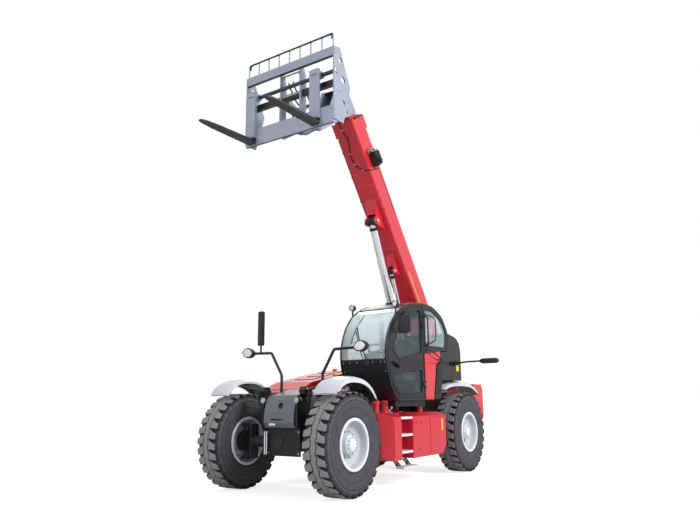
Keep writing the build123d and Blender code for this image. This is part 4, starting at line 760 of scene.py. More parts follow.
def dress_barrel(name, base, eye, length, radius):
    """Gland, foot ring, ports and pipe of a cylinder's barrel, between its pin and its rod's eye."""
    foot, far = M(base[0], 0, base[1]), M(eye[0], 0, eye[1])
    line = (far - foot).normalized()
    end = foot + line * (length / 1000)
    pipe_radius = 0.010 if radius > 60 else 0.007
    length, radius = length / 1000, radius / 1000
    flat = line.cross(LEFT).normalized()
    if flat.z > 0:
        flat = -flat
    with piece(name + "_cylinder_gland", BLACK, name + "_barrel") as bm:
        turned(bm, end - line * 0.075, line, [(0, radius), (0, radius + 0.008), (0.070, radius + 0.008),
                                              (0.076, radius + 0.002), (0.076, radius * 0.6)], 48)
        turned(bm, foot + line * 0.17, line,
               [(0, radius), (0.004, radius + 0.006), (0.03, radius + 0.006), (0.034, radius)], 48)
        for spot in (0.17, length - 0.11):
            turned(bm, foot + line * spot + flat * (radius - 0.003), flat,
                   [(0, 0), (0, 0.024), (0.028, 0.024), (0.032, 0.02), (0.032, 0)], 24)
    off, near = flat * (radius + 0.022), flat * (radius + 0.01)
    tube(name + "_cylinder_pipe",
         [foot + line * 0.18 + near, foot + line * 0.20 + off, foot + line * 0.28 + off,
          foot + line * (length / 2) + off, end - line * 0.22 + off, end - line * 0.14 + off,
          end - line * 0.115 + near],
         pipe_radius, STEEL, name + "_barrel")


def dress_eye(name, base, eye, radius, half, neck):
    """Black block round a rod's eye, with a collar on the rod below it."""
    foot, far = M(base[0], 0, base[1]), M(eye[0], 0, eye[1])
    line = (far - foot).normalized()
    with piece(name + "_rod_eye_block", BLACK, name + "_rod") as bm:
        turned(bm, far - LEFT * half, LEFT, [(0, radius - 0.001), (0, radius + 0.007), (0.004, radius + 0.012),
                                             (2 * half - 0.004, radius + 0.012), (2 * half, radius + 0.007),
                                             (2 * half, radius - 0.001)], 44)
        turned(bm, far - line * (1.8 * radius + 0.06), line,
               [(0, neck), (0.006, neck + 0.006), (0.060, neck + 0.006), (0.9 * radius, neck * 0.9)], 44)


# name, pin, rod's eye, the eye's radius, half width and neck in metres, the barrel's length and radius
CYLINDERS = (("lift", (-3802, 1000), boom_xz(*LIFT_EYE), (0.060, 0.080, 0.070), (2230, 95)),
             ("compensation", (-3950, 1400), boom_xz(*COMPENSATION_EYE), (0.045, 0.050, 0.032), (1350, 52)))
for name, base, eye, eye_sizes, _ in CYLINDERS:
    dress_eye(name, base, eye, *eye_sizes)
for name, base, eye, _, barrel_sizes in CYLINDERS:
    dress_barrel(name, base, eye, *barrel_sizes)


# ------------------------------------------------------------------ cab
CAB_IN, CAB_OUT = 275.0, 1110.0  # y of the cab's right side and of its left side


def seal(name, outline, y, radius, body="chassis", mat=PLASTIC):
    """A raised frame round an opening in the cab's side, with rounded corners."""
    points = []
    for k, corner in enumerate(outline):
        a, b, c = Vector(outline[k - 1]), Vector(corner), Vector(outline[(k + 1) % len(outline)])
        cut = min(46.0, 0.42 * (a - b).length, 0.42 * (c - b).length)
        p, q = b + (a - b).normalized() * cut, b + (c - b).normalized() * cut
        points += [p * (1 - w) ** 2 + b * 2 * w * (1 - w) + q * w ** 2 for w in (0, 0.25, 0.5, 0.75, 1)]
    tube(name, [M(point.x, y, point.y) for point in points], radius, mat, body, closed=True)


def bolts(name, places, axis, radius, mat=STEEL):
    """Hexagon bolts at places in machine millimetres, on what is painted black."""
    with piece(name, mat, slot="black_paint") as bm:
        for place in places:
            bolt(bm, M(*place), axis, radius)


QUARTER = ((-2150, 2120), (-2150, 2735), (-2430, 2725), (-2740, 2605), (-2850, 2490), (-2925, 2380), (-2870, 2125))
seal("door_upper_seal", ((-1098, 2007), (-1271, 1865), (-2018, 2000), (-2018, 2660), (-1950, 2700), (-1467, 2600),
                         (-1232, 2289)), 1108, 0.008, "door")
seal("door_lower_seal", ((-1099, 1644), (-1092, 1503), (-1244, 1345), (-1990, 1355), (-2010, 1733)),
     1108, 0.008, "door")
seal("quarter_seal_left", QUARTER, 1110, 0.009)
seal("quarter_seal_right", QUARTER, CAB_IN, 0.008)
seal("side_window_seal_right", ((-1080, 1750), (-1030, 1990), (-1440, 2560), (-1500, 2640), (-2080, 2650),
                                (-2080, 1750)), CAB_IN, 0.008)
seal("door_edge", ((-1271, 1303), (-1137, 1379), (-1058, 1497), (-998, 1668), (-958, 1834), (-954, 1990),
                   (-1012, 2187), (-1114, 2364), (-1266, 2520), (-1453, 2630), (-1692, 2712), (-2046, 2755),
                   (-2079, 2755), (-2079, 1303)), 1108, 0.006, "door", BLACK)

# rounded rails along both upper edges of the cab, from the front pillar over the roof to the rear corner
RAIL = ((-946, 1660), (-922, 1745), (-906, 1830), (-902, 1910), (-902, 1995), (-928, 2100), (-962, 2208),
        (-1012, 2305), (-1072, 2398), (-1146, 2484), (-1232, 2565), (-1328, 2626), (-1432, 2680), (-1552, 2724),
        (-1680, 2765), (-1860, 2792), (-2046, 2810), (-2250, 2806), (-2450, 2794), (-2620, 2730), (-2779, 2660),
        (-2842, 2596), (-2900, 2530), (-2946, 2466), (-2988, 2402))
for word, y in (("left", CAB_OUT - 9), ("right", CAB_IN + 9)):
    tube("cab_edge_rail_" + word, [(x, y, z) for x, z in RAIL], 0.013, BLACK)

# roof skin with a crown and shallow ribs
ROOF = ((-2780, 2660), (-2700, 2700), (-2600, 2742), (-2450, 2790), (-2250, 2806), (-2046, 2810), (-1860, 2794),
        (-1680, 2766), (-1550, 2728), (-1430, 2682))
ROOF_FRONT, ROOF_LENGTH, ROOF_CROWN = -1436, 1340, 20
RIBS, RIB_RISE = 5, 5


def roof_at(w, v):
    """A point of the roof at a share w of its length and v of its width."""
    x = ROOF_FRONT - w * ROOF_LENGTH
    base = float(np.interp(x, *zip(*ROOF))) - 2
    crown = ROOF_CROWN * (1 - (2 * v - 1) ** 4) * (1 - (2 * w - 1) ** 6)
    ribs = RIB_RISE * (0.5 + 0.5 * math.cos(2 * math.pi * v * RIBS)) * soft(w, 0.06, 0.16) * (1 - soft(w, 0.80, 0.90))
    ribs *= soft(v, 0.06, 0.14) * (1 - soft(v, 0.86, 0.94))
    return M(x, CAB_IN + 4 + v * (CAB_OUT - CAB_IN - 8), base + crown + ribs)


with piece("cab_roof_skin", BLACK) as bm:
    sheet(bm, [[roof_at(i / 32, j / 24) for j in range(25)] for i in range(33)])
tube("windscreen_header", [(-1392, 330, 2668), (-1380, 480, 2672), (-1380, 900, 2672), (-1392, 1055, 2668)],
     0.010, PLASTIC)

# windscreen: x and z of its side view, from the sill to the header
SCREEN = ((-905, 1862), (-900, 1995), (-960, 2208), (-1070, 2398), (-1230, 2565), (-1390, 2655))
SPANS = [math.dist(a, b) for a, b in zip(SCREEN, SCREEN[1:])]
SCREEN_RIGHT, SCREEN_LEFT, SCREEN_BOW = 302, 1083, 14


def glass_at(w, y, off):
    """A point on the windscreen at a share w of its height, off metres in front of it."""
    run = w * sum(SPANS)
    for (a, b), span in zip(zip(SCREEN, SCREEN[1:]), SPANS):
        if run <= span or b is SCREEN[-1]:
            q = run / span
            d = Vector((b[0] - a[0], 0, b[1] - a[1])).normalized()
            return M(a[0] + (b[0] - a[0]) * q, y, a[1] + (b[1] - a[1]) * q) + Vector((d.z, 0, -d.x)) * off
        run -= span


def screen_row(v):
    """Points up the bowed outer skin of the windscreen at a share v of its width."""
    y = SCREEN_RIGHT + v * (SCREEN_LEFT - SCREEN_RIGHT)
    bow = SCREEN_BOW * (1 - (2 * v - 1) ** 4)
    return [glass_at(i / 21, y, 0.004 + bow / 1000) for i in range(22)]


# a skin just in front of the windscreen carries its painted reflection
with piece("windscreen_reflection_skin", SHEEN) as bm:
    sheet(bm, [screen_row(j / 24) for j in range(25)])

# wiper: two arms, a blade that follows the windscreen and the motor's cap
tube("wiper_arm", [(-900, 790, 1800), (-878, 788, 1812), (-872, 770, 1870), glass_at(0.12, 720, 0.034),
                   glass_at(0.26, 640, 0.034), glass_at(0.42, 560, 0.030), glass_at(0.52, 520, 0.022)],
     0.0085, PLASTIC)
tube("wiper_arm_link", [(-900, 730, 1800), (-880, 728, 1810), (-874, 712, 1862), glass_at(0.11, 670, 0.030),
                        glass_at(0.25, 600, 0.030), glass_at(0.44, 530, 0.026)], 0.0065, PLASTIC)
tube("wiper_blade", [glass_at(w, 500 + 110 * (w - 0.5), 0.012) for w in (0.24, 0.34, 0.44, 0.54, 0.64, 0.74, 0.82)],
     0.011, HOSE)
with piece("wiper_motor_cap", PLASTIC) as bm:
    turned(bm, M(-908, 760, 1800), FORE, [(0, 0.055), (0.02, 0.050), (0.03, 0.032), (0.032, 0)], 32)

# bolts and blank plate on the cab's front apron, which slopes
APRON_OUT = Vector((170, 0, -40)).normalized()
APRON_UP = Vector((40, 0, 170)).normalized()
bolts("cab_front_bolts", [(-909, y, 1812) for y in (330, 450, 580, 720, 860, 1000, 1070)]
      + [(-941, y, 1676) for y in (330, 1070)], APRON_OUT, 0.007)
with piece("cab_front_blank_plate", BLACK) as bm:
    prism(bm, octagon(0.072, 0.085, 0.085, 0.06), M(-931, 820, 1718) - APRON_OUT * 0.001,
          (LEFT, APRON_UP, APRON_OUT), 0.006, 0.002)

# door handle, grab rails and the loop behind the door
tube("door_handle", [(-1090, 1140, 1816), (-1100, 1150, 1812), (-1160, 1152, 1788), (-1228, 1150, 1754),
                     (-1236, 1140, 1748)], 0.0105, PLASTIC, "door")
tube("grab_rail_rear", [(-2140, 1110, 2110), (-2140, 1160, 2110), (-2140, 1172, 2160), (-2140, 1172, 2350),
                        (-2140, 1172, 2560), (-2140, 1160, 2610), (-2140, 1110, 2610)], 0.013, BLACK)
tube("quarter_window_rail", [(-2172, 1112, 2150), (-2172, 1140, 2150), (-2200, 1146, 2160), (-2440, 1148, 2220),
                             (-2470, 1148, 2260), (-2470, 1148, 2560), (-2450, 1144, 2600), (-2180, 1140, 2640),
                             (-2172, 1112, 2640)], 0.010, BLACK)
tube("pillar_hand_loop", [(-2180, 1112, 2060), (-2180, 1170, 2060), (-2330, 1180, 2010), (-2560, 1180, 1930),
                          (-2600, 1170, 1915), (-2600, 1112, 1910)], 0.011, BLACK)

# red pillar panel behind the door, and what the rear panel carries
with piece("pillar_panel", RED) as bm:
    prism(bm, [(-2.100, 1.262), (-2.100, 1.985), (-2.672, 2.058), (-2.682, 1.912), (-2.503, 1.842), (-2.388, 1.262)],
          M(0, 1107, 0), SIDE_LEFT, 0.010, 0.003)
with piece("panel_louvres", PLASTIC) as bm:
    prism(bm, [(-2.428, 1.285), (-2.540, 1.822), (-2.640, 1.860), (-2.715, 1.850), (-2.712, 1.560), (-2.640, 1.290)],
          M(0, 1108, 0), SIDE_LEFT, 0.010, 0.004)
    for k in range(8):
        x, z = -2.455 - k * 0.011, 1.345 + k * 0.055
        prism(bm, [(x, z), (x - 0.165, z), (x - 0.165, z + 0.018), (x, z + 0.010)],
              M(0, 1117, 0), SIDE_LEFT, 0.010, 0.003)
with piece("panel_port_rings", PLASTIC) as bm:
    for x in (-3085, -3200):
        turned(bm, M(x, 1108, 1866), LEFT, [(0, 0.041), (0.004, 0.046), (0.006, 0.052), (0, 0.056)], 40)
bolts("panel_bolts", [(x, 1109, z) for x, z in (
    (-2760, 1940), (-2760, 1620), (-3100, 1620), (-3440, 1620), (-3450, 2080), (-3400, 2220), (-3020, 2340),
    (-2960, 2100))], LEFT, 0.008, CASTING)
with piece("panel_blank_label", YELLOW, slot="black_paint") as bm:
    prism(bm, plate(0.10, 0.10), M(-3400, 1110, 1745), SIDE_LEFT, 0.0015)
tube("rear_panel_rim", [(x, 1104, z) for x, z in (
    (-2998, 2380), (-3060, 2372), (-3130, 2356), (-3220, 2344), (-3309, 2326), (-3376, 2286), (-3438, 2236),
    (-3466, 2170), (-3486, 2100), (-3484, 1850), (-3478, 1590))], 0.012, BLACK)

# work lamps: bezel with a domed back, lens and reflector
LAMP_Z = 2713
for k, y in enumerate((CAB_IN + 18, CAB_OUT - 16)):
    with piece("work_lamp_bezel_%d" % k, PLASTIC) as bm:
        turned(bm, M(-1203, y, LAMP_Z), FORE,
               [(-0.004, 0.0465), (0.008, 0.049), (0.012, 0.046), (0.010, 0.040), (0.004, 0.039)], 40)
        turned(bm, M(-1265, y, LAMP_Z), BACK, [(0, 0.044), (0.012, 0.038), (0.020, 0.024), (0.022, 0)], 32)
    with piece("work_lamp_lens_%d" % k, LENS) as bm:
        turned(bm, M(-1199, y, LAMP_Z), FORE, [(0, 0.040), (0.005, 0.037), (0.008, 0.022), (0.009, 0)], 40)
    with piece("work_lamp_mirror_%d" % k, CHROME) as bm:
        turned(bm, M(-1202, y, LAMP_Z), FORE,
               [(0, 0.039), (0.001, 0.026), (0.0005, 0.012), (0.004, 0.010), (0.004, 0)], 40)


# ------------------------------------------------------------------ mirrors
def three_arc(a, b, c, count):
    """Points of the arc from a through b to c, without c."""
    ax, ay, bx, by, cx, cy = *a, *b, *c
    d = 2 * (ax * (by - cy) + bx * (cy - ay) + cx * (ay - by))
    aa, bb, cc = ax * ax + ay * ay, bx * bx + by * by, cx * cx + cy * cy
    ux = (aa * (by - cy) + bb * (cy - ay) + cc * (ay - by)) / d
    uy = (aa * (cx - bx) + bb * (ax - cx) + cc * (bx - ax)) / d
    rad = math.hypot(ax - ux, ay - uy)
    turn_a, turn_b, turn_c = (math.atan2(q[1] - uy, q[0] - ux) for q in (a, b, c))
    sweep_b, sweep_c = (turn_b - turn_a) % (2 * math.pi), (turn_c - turn_a) % (2 * math.pi)
    if sweep_b > sweep_c:
        sweep_c -= 2 * math.pi
    return [(ux + rad * math.cos(turn_a + sweep_c * k / count), uy + rad * math.sin(turn_a + sweep_c * k / count))
            for k in range(count)]


# front mirror heads: pointed shells with a pale front, a dark edge and a glass at the back
TIPS, ARC_STEPS = ((950, 1984), (1185, 2012)), 16
MIRROR_EDGE = (three_arc(TIPS[0], (1085, 2084), TIPS[1], ARC_STEPS)
               + three_arc(TIPS[1], (1058, 1926), TIPS[0], ARC_STEPS))
MID_Y, MID_Z = (sum(axis) / len(MIRROR_EDGE) for axis in zip(*MIRROR_EDGE))
# part, paint, and x and size of each of its rows
HEAD_PARTS = (("shell", WHITE, ((-243, 0.80), (-238, 0.74), (-234, 0.5), (-232, 0.2))),
              ("edge", PLASTIC, ((-243, 0.76), (-240, 0.84), (-243, 0.94), (-250, 0.995), (-256, 0.9995))),
              ("glass", CHROME, ((-316.5, 0.90), (-317.0, 0.86), (-317.2, 0.4))))
for hand, word in HANDS:
    for part, mat, rows in HEAD_PARTS:
        with piece("front_mirror_%s_%s" % (part, word), mat) as bm:
            loops = loft(bm, [[M(x, hand * (MID_Y + (y - MID_Y) * size), MID_Z + (z - MID_Z) * size)
                               for y, z in MIRROR_EDGE] for x, size in rows])
            if part != "edge":
                bm.faces.new(loops[-1])

# flat backs and glasses: name, paint, outline, place, axes, depth, bevel, body
FLAT_PARTS = (
    ("tall_mirror_back", PLASTIC, rect(0.049, 0.262), (-254.5, -809, 2380), FACING_FORE, 0.004, 0.003, "chassis"),
    ("tall_mirror_glass", CHROME, rect(0.046, 0.255), (-295.3, -809, 2380), FACING_BACK, 0.0015, 0.0, "chassis"),
    ("cab_mirror_shell", PLASTIC, octagon(0.085, 0.138, 0.100, 0.120), (-1212, 1250, 2384), FACING_FORE, 0.018,
     0.007, "door"),
    ("cab_mirror_glass", CHROME, rect(0.082, 0.110), (-1250.3, 1250, 2384), FACING_BACK, 0.0015, 0.0, "door"),
)
for name, mat, outline, place, axes, depth, bevel, body in FLAT_PARTS:
    with piece(name, mat, body) as bm:
        prism(bm, outline, M(*place), axes, depth, bevel)


def head_ring(w):
    """One ring of the rear mirror's head at a share w of its length: a squarish loop that closes at the tip."""
    swell = soft(w, -0.05, 0.22)
    tip = math.sqrt(max(0.04, 1 - max(0.0, (w - 0.86) / 0.14) ** 2.2))
    tall, deep = 0.044 * (swell * 0.75 + 0.25) * tip, 0.050 * (swell * 0.65 + 0.35) * tip
    ring = []
    for a in round_angles(24):
        c, s = math.cos(a), math.sin(a)
        ring.append(M(-3095, 1640 + 350 * w, 1892) + Vector((deep * math.copysign(abs(c) ** 0.6, c), 0,
                                                            tall * math.copysign(abs(s) ** 0.6, s))))
    return ring


bm = bmesh.new()
close_ends(bm, loft(bm, [head_ring(k / 24) for k in range(25)]))
block(bm, -3345, -3258, 1110.5, 1122, 1850, 1925)
turned(bm, M(-3300, 1118, 1887), LEFT, [(0, 0.034), (0.02, 0.030), (0.05, 0.024), (0.05, 0)], 28)
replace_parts(put("rear_mirror_head", bm, PLASTIC), "rear_mirror")
tube("rear_mirror_arm", [(-3300, 1125, 1887), (-3300, 1190, 1887), (-3230, 1265, 1889), (-3150, 1345, 1890),
                         (-3098, 1410, 1890), (-3095, 1500, 1891), (-3095, 1665, 1892)], 0.015, PLASTIC)
with piece("rear_mirror_glass", CHROME) as bm:
    prism(bm, [(-0.125, -0.032), (0.130, -0.034), (0.130, 0.034), (-0.125, 0.032)], M(-3144, 1828, 1892),
          FACING_BACK, 0.003, 0.001)


# ------------------------------------------------------------------ nose, fenders and axles
HATCH_Y, HATCH_Z = -90, 690
with piece("nose_round_hatch", CASTING) as bm:
    turned(bm, M(112, HATCH_Y, HATCH_Z), FORE,
           [(0, 0.088), (0.010, 0.088), (0.014, 0.082), (0.014, 0.046), (0.022, 0.040), (0.022, 0)], 48)
bolts("nose_hatch_bolts",
      [(126, HATCH_Y + 64 * math.sin(a), HATCH_Z + 64 * math.cos(a)) for a in round_angles(8, 0.5)],
      FORE, 0.0075, CASTING)
bolts("nose_bolts", [(112, y, z) for z in (540, 830) for y in (-270, 270)], FORE, 0.0095)
with piece("nose_guide_bars", CHROME) as bm:
    for y in (-278, -316):
        turned(bm, M(150, y, 505), UPW, [(0, 0), (0, 0.012), (0.33, 0.012), (0.33, 0)], 24)
with piece("nose_guide_brackets", CASTING) as bm:
    for z in (505, 835):
        prism(bm, rect(0.03, 0.04), M(136, -297, z), (FORE, LEFT, UPW), 0.014, 0.004)

# bright caps of the ear pins, port blocks and the hoses that leave them
PORTS = ((60, 1420), (125, 1420), (95, 1370))
with piece("ear_pin_caps", STEEL) as bm:
    for hand in BOTH:
        turned(bm, M(146, hand * 338, 1283), (0, hand, 0),
               [(0, 0.030), (0.006, 0.030), (0.009, 0.026), (0.009, 0)], 36)
        turned(bm, M(214, hand * 308, 1262), FORE,
               [(-0.01, 0.040), (0.006, 0.040), (0.010, 0.034), (0.010, 0.020), (0.016, 0.018), (0.016, 0)], 32)
with piece("ear_ports", STEEL) as bm:
    for hand in BOTH:
        for x, z in PORTS:
            turned(bm, M(x, hand * 421, z), (0, hand, 0),
                   [(0, 0.016), (0.012, 0.016), (0.014, 0.011), (0.03, 0.011), (0.03, 0)], 18)
for hand, word in HANDS:
    for k, (x, z) in enumerate(PORTS):
        tube("ear_hose_%s_%d" % (word, k + 1), [
            (x, hand * 448, z), (x + 10, hand * 470, z - 10), (x + 30, hand * 462, z - 120),
            (x - 20, hand * 400, z - 260), (x - 60, hand * 352, z - 380), (-20 - 20 * k, hand * 340, 930)],
            0.010, HOSE)
with piece("cover_blank_plate", WHITE) as bm:
    prism(bm, rect(0.06, 0.014), M(223, -120, 935), FACING_FORE, 0.002)


def smooth_at(run, values, s):
    """Catmull-Rom value at a distance s along an outline."""
    k = min(max(int(np.searchsorted(run, s)) - 1, 0), len(run) - 2)
    h = run[k + 1] - run[k]
    w = (s - run[k]) / h
    before = (values[k + 1] - values[k - 1]) / (run[k + 1] - run[k - 1]) if k > 0 else (values[1] - values[0]) / h
    after = (values[k + 2] - values[k]) / (run[k + 2] - run[k]) if k + 2 < len(run) else (values[-1] - values[-2]) / h
    return float((2 * w ** 3 - 3 * w ** 2 + 1) * values[k] + (w ** 3 - 2 * w ** 2 + w) * h * before
                 + (3 * w ** 2 - 2 * w ** 3) * values[k + 1] + (w ** 3 - w ** 2) * h * after)


FENDER_STEPS = 44


def fender_skin(word, hand, y_in, y_out, outline):
    """A crowned skin over a fender's plate with rolled skirts down both sides."""
    xs, zs = (np.array(values, float) for values in zip(*outline))
    run = np.concatenate(([0], np.cumsum(np.hypot(np.diff(xs), np.diff(zs)))))
    wide, mid = y_out - y_in, (y_in + y_out) / 2
    rows = []
    for k in range(FENDER_STEPS + 1):
        w = k / FENDER_STEPS
        s = run[-1] * w
        (x0, z0), (x, z), (x1, z1) = ((smooth_at(run, xs, q), smooth_at(run, zs, q)) for q in (s - 2, s, s + 2))
        length = math.hypot(x1 - x0, z1 - z0)
        nx, nz = (z1 - z0) / length, -(x1 - x0) / length
        if nz < 0:
            nx, nz = -nx, -nz
        deep = 14 + 50 * math.sin(math.pi * w) ** 0.6
        end = min(1.0, min(w, 1 - w) / 0.05)
        round_off = 26 * (1 - math.sqrt(max(0.0, 1 - (1 - end) ** 2)))
        skirt = deep - 12
        crown = 8 + 16 * end
        section = ((y_out + 7, -deep), (y_out + 7, -skirt), (y_out + 4, -skirt + 5), (y_out + 4, -12), (y_out - 1, 0),
                   (y_out - 14, 6), (y_out - 0.25 * wide, crown), (y_in + 0.5 * wide, crown + 3),
                   (y_in + 0.25 * wide, crown), (y_in + 14, 6), (y_in + 1, 0), (y_in - 4, -12),
                   (y_in - 4, -0.55 * deep), (y_in, -0.55 * deep), (y_in, -5), (y_out, -5), (y_out, -deep))
        row = []
        for y, n in section:
            side = max(-1.0, min(1.0, (y - mid) / (wide / 2)))
            row.append(M(x + nx * n, hand * (y - round_off * side), z + nz * n))
        rows.append(row)
    with piece(word + "_fender_skin", SILVER) as bm:
        close_ends(bm, loft(bm, rows))


FENDER_IN = 770.0
FRONT_FENDER = ((430, 1345), (345, 1455), (200, 1530), (0, 1555), (-210, 1530), (-400, 1440), (-560, 1250))
REAR_FENDER = ((-3270, 1540), (-3620, 1545), (-3950, 1500), (-4250, 1345))
for hand, word in HANDS:
    fender_skin("front_" + word, hand, FENDER_IN, 1150.0, FRONT_FENDER)
for (hand, word), tip in zip(HANDS, (((-2790, 1425), (-2980, 1500)), ((-2890, 1425), (-3020, 1500)))):
    fender_skin("rear_" + word, hand, FENDER_IN, 1110.0, tip + REAR_FENDER)

# paired holes near the front of each front fender, drawn as dark discs of painted shade, and black stays under them
with piece("fender_hole_shade", HOSE, slot="fender_silver") as bm:
    for hand in BOTH:
        for x, z, tilt in ((336, 1484, 0.75), (238, 1537, 0.45)):
            for y in (905, 965):
                turned(bm, M(x, hand * y, z), (1 - tilt, 0, tilt),
                       [(-0.004, 0.015), (0.003, 0.015), (0.002, 0.010), (0.002, 0)], 20)
for hand, word in HANDS:
    tube("fender_stay_" + word, [(x, hand * y, z) for x, y, z in (
        (95, 418, 1400), (120, 520, 1420), (150, 640, 1440), (170, 760, 1478), (180, 800, 1512))], 0.017, BLACK)

# drive shafts between the axles, seen from below
SHAFT = [(0, 0.06), (0.03, 0.06), (0.06, 0.05), (0.09, 0.038), (0.12, 0.036), (1.36, 0.036), (1.40, 0.05),
         (1.46, 0.06), (1.50, 0.06), (1.50, 0)]
with piece("drive_shafts", CASTING) as bm:
    turned(bm, M(-290, 0, AXLE_Z), BACK, SHAFT, 32)
    turned(bm, M(-3410, 0, AXLE_Z), FORE, SHAFT, 32)
    block(bm, -1930, -1785, -110, 110, 590, 800, 0.02)


# ------------------------------------------------------------------ step box and tank
with piece("tank_door_panels", RED) as bm:
    for front, rear, low in ((-1.590, -2.150, 0.44), (-2.160, -2.700, 0.56), (-1.020, -1.232, 0.44)):
        prism(bm, [(front, 0.44), (front, 0.985), (rear, 0.985), (rear, low)], M(0, 1139, 0), SIDE_LEFT, 0.006, 0.003)
with piece("tank_crease", RED) as bm:
    for x0, x1 in ((-1024, -1230), (-1594, -2146), (-2164, -2696)):
        block(bm, x0, x1, 1143, 1148, 644, 651, 0.002)
with piece("tank_latches", HOSE) as bm:
    for x in (-1640, -1700, -1860):
        turned(bm, M(x, 1144, 912), LEFT, [(0, 0.014), (0.004, 0.013), (0.004, 0.006), (0.002, 0)], 20)
    block(bm, -1800, -1740, 1144, 1149, 500, 520, 0.002)
with piece("tank_blank_label", YELLOW) as bm:
    block(bm, -2610, -2560, 1144, 1146, 760, 950, 0.0005)
# filler neck with its cap
with piece("filler_neck", RED) as bm:
    turned(bm, M(-960, 870, 1055), UPW,
           [(0, 0.050), (0.13, 0.050), (0.135, 0.062), (0.18, 0.062), (0.19, 0.054), (0.192, 0)], 40)
CLEAT = [(-0.004, 0), (0.004, 0), (0.002, 0.004), (-0.002, 0.004)]
with piece("step_cleats", ALU) as bm:
    for z in (508, 753, 1002):
        for k in range(16):
            prism(bm, CLEAT, M(-1570 + k * 21, 1135, z), SIDE_RIGHT, 0.215)
    for k in range(18):
        prism(bm, CLEAT, M(-1742 + k * 25, 1126, 285), SIDE_RIGHT, 0.130)
# black skins and bolts of the raked brackets
BRACKETS = (-1180, -1480)
with piece("hanging_step_skins", BLACK) as bm:
    for x in BRACKETS:
        outline = [((x + dx) / 1000, z) for dx, z in ((4, 0.388), (-109, 0.388), (-240, 0.290), (-130, 0.290))]
        prism(bm, outline, M(0, 1012, 0), SIDE_LEFT, 0.006, 0.002)
        prism(bm, outline, M(0, 1000, 0), SIDE_RIGHT, 0.006, 0.002)
bolts("hanging_step_bolts", [(x + dx, 1018, z) for x in BRACKETS for dx, z in ((-50, 365), (-85, 345), (-150, 310))],
      LEFT, 0.008)

# ------------------------------------------------------------------ engine hood and bay
with piece("hood_louvres_right", PLASTIC, "hood") as bm:
    for k in range(4):
        x = -1250 - k * 300
        prism(bm, [(-0.10, -0.05), (0.07, -0.05), (0.10, 0.05), (-0.07, 0.05)],
              M(x, -1120, 1480), SIDE_RIGHT, 0.004, 0.002)
        for q in range(5):
            prism(bm, [(-0.085 + q * 0.003, 0), (0.075 + q * 0.003, 0), (0.078, 0.009), (-0.082, 0.009)],
                  M(x + 6 * q - 12, -1122, 1440 + q * 18), SIDE_RIGHT, 0.010, 0.002)
with piece("hood_latches", PLASTIC, "hood") as bm:
    for x in (-1000, -2700):
        block(bm, x - 50, x + 50, -1134, -1126, 1260, 1285, 0.004)
HOOD_DROP = -0.1815              # rise of the hood's top for each millimetre forward
with piece("hood_top_ribs", RED, "hood") as bm:
    for k in range(3):
        x = -1250 - k * 330
        prism(bm, [(0, 0), (0.21, 0), (0.20, 0.012), (0.01, 0.012)], M(x, -520, 1553 + (1000 + x) * HOOD_DROP),
              ((-0.984, 0, 0.179), (0.179, 0, 0.984), RIGHT), 0.40, 0.003)
with piece("bay_grille", PLASTIC) as bm:
    for k in range(11):
        z = 560 + k * 52
        block(bm, -2600, -1100, -1140, -1130, z, z + 16, 0.004)

# light tower in front of the cab
TOWER = (-520, 440)
for k, (word, colour) in enumerate((("green", (0.02, 0.32, 0.16)), ("amber", (0.85, 0.42, 0.02)),
                                    ("red", (0.62, 0.03, 0.03)))):
    signal = surface("signal_" + word, colour, 0.25, coat=0.4, spread=0.1, peel=0.1)
    with piece("light_tower_" + word, signal, slot="glass") as bm:
        turned(bm, M(*TOWER, 1590 + k * 42), UPW,
               [(0, 0.030), (0.004, 0.033), (0.036, 0.033), (0.040, 0.030), (0.040, 0)], 32)
with piece("light_tower_post", PLASTIC) as bm:
    turned(bm, M(*TOWER, 1420), UPW, [(0, 0.03), (0.01, 0.03), (0.012, 0.012), (0.155, 0.012), (0.160, 0.032),
                                      (0.170, 0.033), (0.170, 0)], 24)
    block(bm, -600, -520, 285, 510, 1408, 1424, 0.004)

# ------------------------------------------------------------------ fork carriage
CHEEK, FORK_FACE = 899, 154      # y of the carriage's outer faces, and x of the front of the fork shanks
with piece("carriage_pin_caps", STEEL, "carriage") as bm:
    for hand in BOTH:
        turned(bm, M(34, hand * CHEEK, 6167), (0, hand, 0),
               [(0, 0.052), (0.010, 0.052), (0.013, 0.046), (0.013, 0.026), (0.02, 0.022), (0.02, 0)], 36)
        turned(bm, M(-60, hand * CHEEK, 5885), (0, hand, 0),
               [(0, 0.030), (0.008, 0.030), (0.010, 0.024), (0.010, 0)], 36)
        turned(bm, M(-450, hand * 229, 5650), (0, hand, 0),
               [(0, 0.060), (0.010, 0.060), (0.014, 0.052), (0.014, 0)], 40)
with piece("carriage_bolts", GREY, "carriage") as bm:
    for hand in BOTH:
        for x, z in ((76, 6500), (76, 6440), (80, 5400), (80, 5500), (-30, 6540)):
            bolt(bm, M(x, hand * CHEEK, z), (0, hand, 0), 0.009)
for k, y in enumerate((-45, 45)):
    tube("carriage_hose_%d" % (k + 1), [(x, y, z) for x, z in (
        (30, 6240), (24, 6190), (-50, 6120), (-120, 6030), (-210, 5960), (-290, 5945))], 0.012, HOSE, "carriage")
